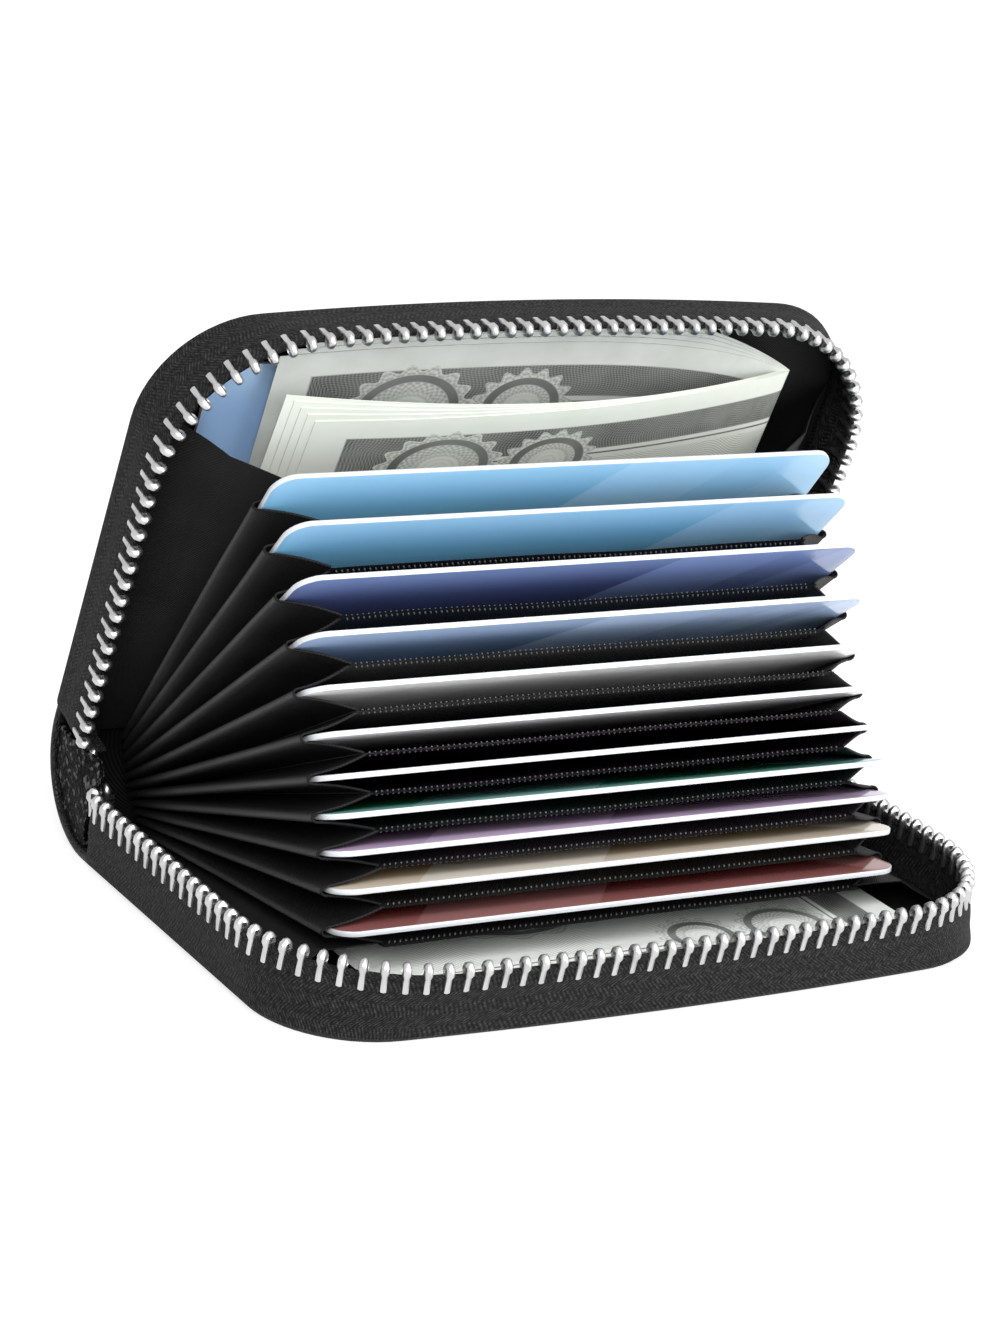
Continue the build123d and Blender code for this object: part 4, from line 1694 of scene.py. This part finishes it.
def make_patch(name, side, x_at, flap):
    def place(u, v):
        angle = (u - 0.5) * 2 * 0.86
        outer = arc_radius - 0.5 * MM
        back = outer * math.cos(angle) - arc_centre
        rise = outer * math.sin(angle)
        # a flap narrows to a tip ahead; without one the patch stops at the chord
        tip = flap if flap else -0.3 * MM
        tip_rise = rise * (0.12 if flap else 0.9)
        ahead = tip * v - back * (1 - v)
        height = rise * (1 - v) + tip_rise * v
        dome = math.sin(math.pi * min(1, v * 0.9 + 0.1)) * 0.63 * MM
        crumple = soft_wave(u * 9, v * 7, 4) * 0.22 * MM
        return spine_place(ahead, height, side * (x_at + dome + crumple))

    patch = add_sheet(name, 22, 18, place)
    return smooth(clean(thicken(patch, 0.7 * MM)), 60)


left_patch = make_patch("spine_patch_left", -1, 52.5 * MM, 8.6 * MM)
right_patch = make_patch("spine_patch_right", 1, 52.5 * MM, 0.0)
dress(left_patch, patch_skin, "spine", ("spine_end_left",))
dress(right_patch, patch_skin, "spine", ("spine_end_right",))
print("patches at x:", round(left_patch.data.vertices[0].co.x, 4))

# %% [markdown]
# ## Zip tail, slider and pull
# The zip ends on the right of the spine: a short folded tail of tape, the
# slider parked on it, and a flat pull that hangs from a pin. The slider's two
# plates are narrow at the rear and wide at the mouth, with a post between them
# that parts the teeth, and two ears on the outer plate hold the pin.

# %% Zip tail, slider, pin and pull
slider_x = 53.5 * MM


def spine_turned(piece):
    # pieces of the spine are modelled along X, ahead and up, then turned into place
    turn = Matrix((Vector((1, 0, 0)), -forward, upward)).transposed().to_4x4()
    piece.data.transform(Matrix.Translation(spine_middle) @ turn)
    return clean(piece)


tail = add_cube("zip_tail_cloth", (1.5 * MM, 6.9 * MM, 2.2 * MM), (slider_x, -3.4 * MM, 0))
subdivide(tail, 4)
for vertex in tail.data.vertices:
    pinch = 1 - 0.25 * abs(vertex.co.z) / (1.1 * MM)
    vertex.co.x = slider_x + (vertex.co.x - slider_x) * pinch
soften(tail, 0.2 * MM)
dress(smooth(spine_turned(tail)), tape_cloth, "spine", ("zip_tail",))


def make_slider_plate(x_middle):
    length = 9 * MM
    plate = add_cube("slider plate", (1.0 * MM, length, 7.8 * MM), (x_middle, -5.1 * MM, 0))
    subdivide(plate, 5)
    for vertex in plate.data.vertices:
        # narrow at the rear, full at the mouth, and drawn in a little at its lip
        along = (-vertex.co.y - 0.6 * MM) / length
        waist = 0.66 + 0.34 * min(1, along * 1.6) - 0.1 * max(0, along - 0.75) / 0.25
        vertex.co.z *= waist
    return soften(plate, 0.28 * MM)


slider_pieces = [make_slider_plate(slider_x + offset * MM) for offset in (1.55, -1.55)]
post = add_cube("slider post", (2.2 * MM, 1.7 * MM, 2 * MM), (slider_x, -8.25 * MM, 0))
slider_pieces.append(soften(post, 0.3 * MM))
for side in (-1, 1):
    ear = add_cube(
        "slider ear", (2.8 * MM, 2.4 * MM, 0.75 * MM), (56.9 * MM, -5.2 * MM, side * 2.03 * MM)
    )
    slider_pieces.append(soften(ear, 0.3 * MM, 3))
slider = join("zip_slider_shell", slider_pieces)
dress(smooth(spine_turned(slider)), bright_metal, "zip_slider", ("slider_body",))


pin_x, pin_ahead = 57.25 * MM, 5.2 * MM
pin = soften(add_rod("zip_pull_pin", 0.44 * MM, 4.9 * MM, (pin_x, -pin_ahead, 0)), 0.12 * MM)
dress(smooth(spine_turned(pin)), bright_metal, "zip_slider", ("pull_pin",))


def make_pull():
    # the tab hangs back from the pin, with a raised rim and a pressed panel
    length, width, gap = 14.2 * MM, 5.2 * MM, 0.8 * MM
    middle = (pin_x, -pin_ahead + length / 2 + gap, 0)
    tab = add_cube("pull tab plate", (1.0 * MM, length, width), middle)
    subdivide(tab, 7)
    for vertex in tab.data.vertices:
        # a narrow neck at the pin, a round tip, and the panel pressed in between
        c = vertex.co
        along = (c.y + pin_ahead) / (length + gap)
        neck = 0.56 + 0.44 * min(1, max(0, (along - 0.1) / 0.2))
        tip = math.sqrt(max(0.0, 1 - max(0, (along - 0.82) / 0.19) ** 2))
        c.z *= neck * max(0.35, tip)
        if abs(c.z) < 1.4 * MM and 0.35 < along < 0.88:
            c.x += math.copysign(0.16 * MM, pin_x - c.x)
    soften(tab, 0.16 * MM)
    eye = add_rod("pull eye", 1.05 * MM, 2.9 * MM, (pin_x, -pin_ahead, 0))
    return join("zip_pull_tab", [tab, soften(eye, 0.15 * MM)])


dress(smooth(spine_turned(make_pull())), bright_metal, "zip_pull", ("pull_tab",))
print("slider parked at the right end of the spine")

# %% [markdown]
# ## Floor, backdrop and light
# The object stands on a white sweep in a soft studio. The floor keeps a faint
# shadow. The sweep and the world are white where they are seen, by the camera
# or in a reflection, and light the object at a plain level. Three round lamps,
# from the front left, the front right and above, give the edges their
# direction and the cards their sheen.

# %% Stage and light


def seen_share(tree):
    # 1 where a surface is seen, straight on or in a reflection, and 0 for its light
    path = put(tree, "ShaderNodeLightPath").outputs
    camera_ray, glossy_ray, clear_ray = (
        Value(tree, path[f"Is {kind} Ray"]) for kind in ("Camera", "Glossy", "Transmission")
    )
    return camera_ray.at_least(glossy_ray.at_least(clear_ray))


def make_stage():
    material, tree = new_material("white sweep")
    tree.nodes.remove(tree.nodes["Principled BSDF"])
    seen = seen_share(tree)
    glow = put(tree, "ShaderNodeEmission", {"Color": grey(1.0), "Strength": seen * 0.72})
    floor_colour = blend_colours(tree, seen, grey(0.8), grey(0.42))
    matt = put(tree, "ShaderNodeBsdfDiffuse", {"Color": floor_colour})
    added = put(tree, "ShaderNodeAddShader")
    for number, shader in enumerate((glow, matt)):
        tree.links.new(shader.outputs[0], added.inputs[number])
    tree.links.new(added.outputs[0], tree.nodes["Material Output"].inputs["Surface"])
    side, floor_run, near_y, bend = 6.0, 3.6, -2.4, 0.8

    def place(u, v):
        # the floor, then a quarter turn, then the wall
        x = (u - 0.5) * side
        past = v * side - floor_run
        if past < 0:
            return Vector((x, near_y + floor_run + past, 0))
        turn = min(math.pi / 2, past / bend)
        wall = max(0, past - 1.26)
        y = near_y + floor_run + bend * math.sin(turn)
        return Vector((x, y, bend * (1 - math.cos(turn)) + wall))

    sweep = add_sheet("sweep", 4, 60, place)
    smooth(sweep)
    sweep.data.materials.append(material)


def add_lamp(name, place, aim, size, power):
    bpy.ops.object.light_add(type="AREA", location=place)
    lamp = bpy.context.object
    lamp.name = name
    lamp.data.shape = "DISK"
    lamp.data.size = size
    lamp.data.energy = power
    direction = Vector(aim) - Vector(place)
    lamp.rotation_mode = "QUATERNION"
    lamp.rotation_quaternion = direction.to_track_quat("-Z", "Y")
    return lamp


def light_world():
    world = bpy.data.worlds.new("studio")
    bpy.context.scene.world = world
    world.use_nodes = True
    tree = world.node_tree
    strength = seen_share(tree) * 0.45 + 0.55
    feed(tree, tree.nodes["Background"].inputs, {"Color": grey(1.0), "Strength": strength})


make_stage()
light_world()
lamps = [
    add_lamp("key", (-0.5, -0.75, 0.6), (0, 0, 0.03), 0.5, 7),
    add_lamp("fill", (0.5, -0.85, 0.22), (0, 0, 0.03), 0.6, 5),
    add_lamp("top", (0.15, -0.55, 0.85), (0, 0, 0.01), 0.4, 5),
]
bpy.context.scene.view_settings.view_transform = "Standard"
print("lamps:", [lamp.name for lamp in lamps])
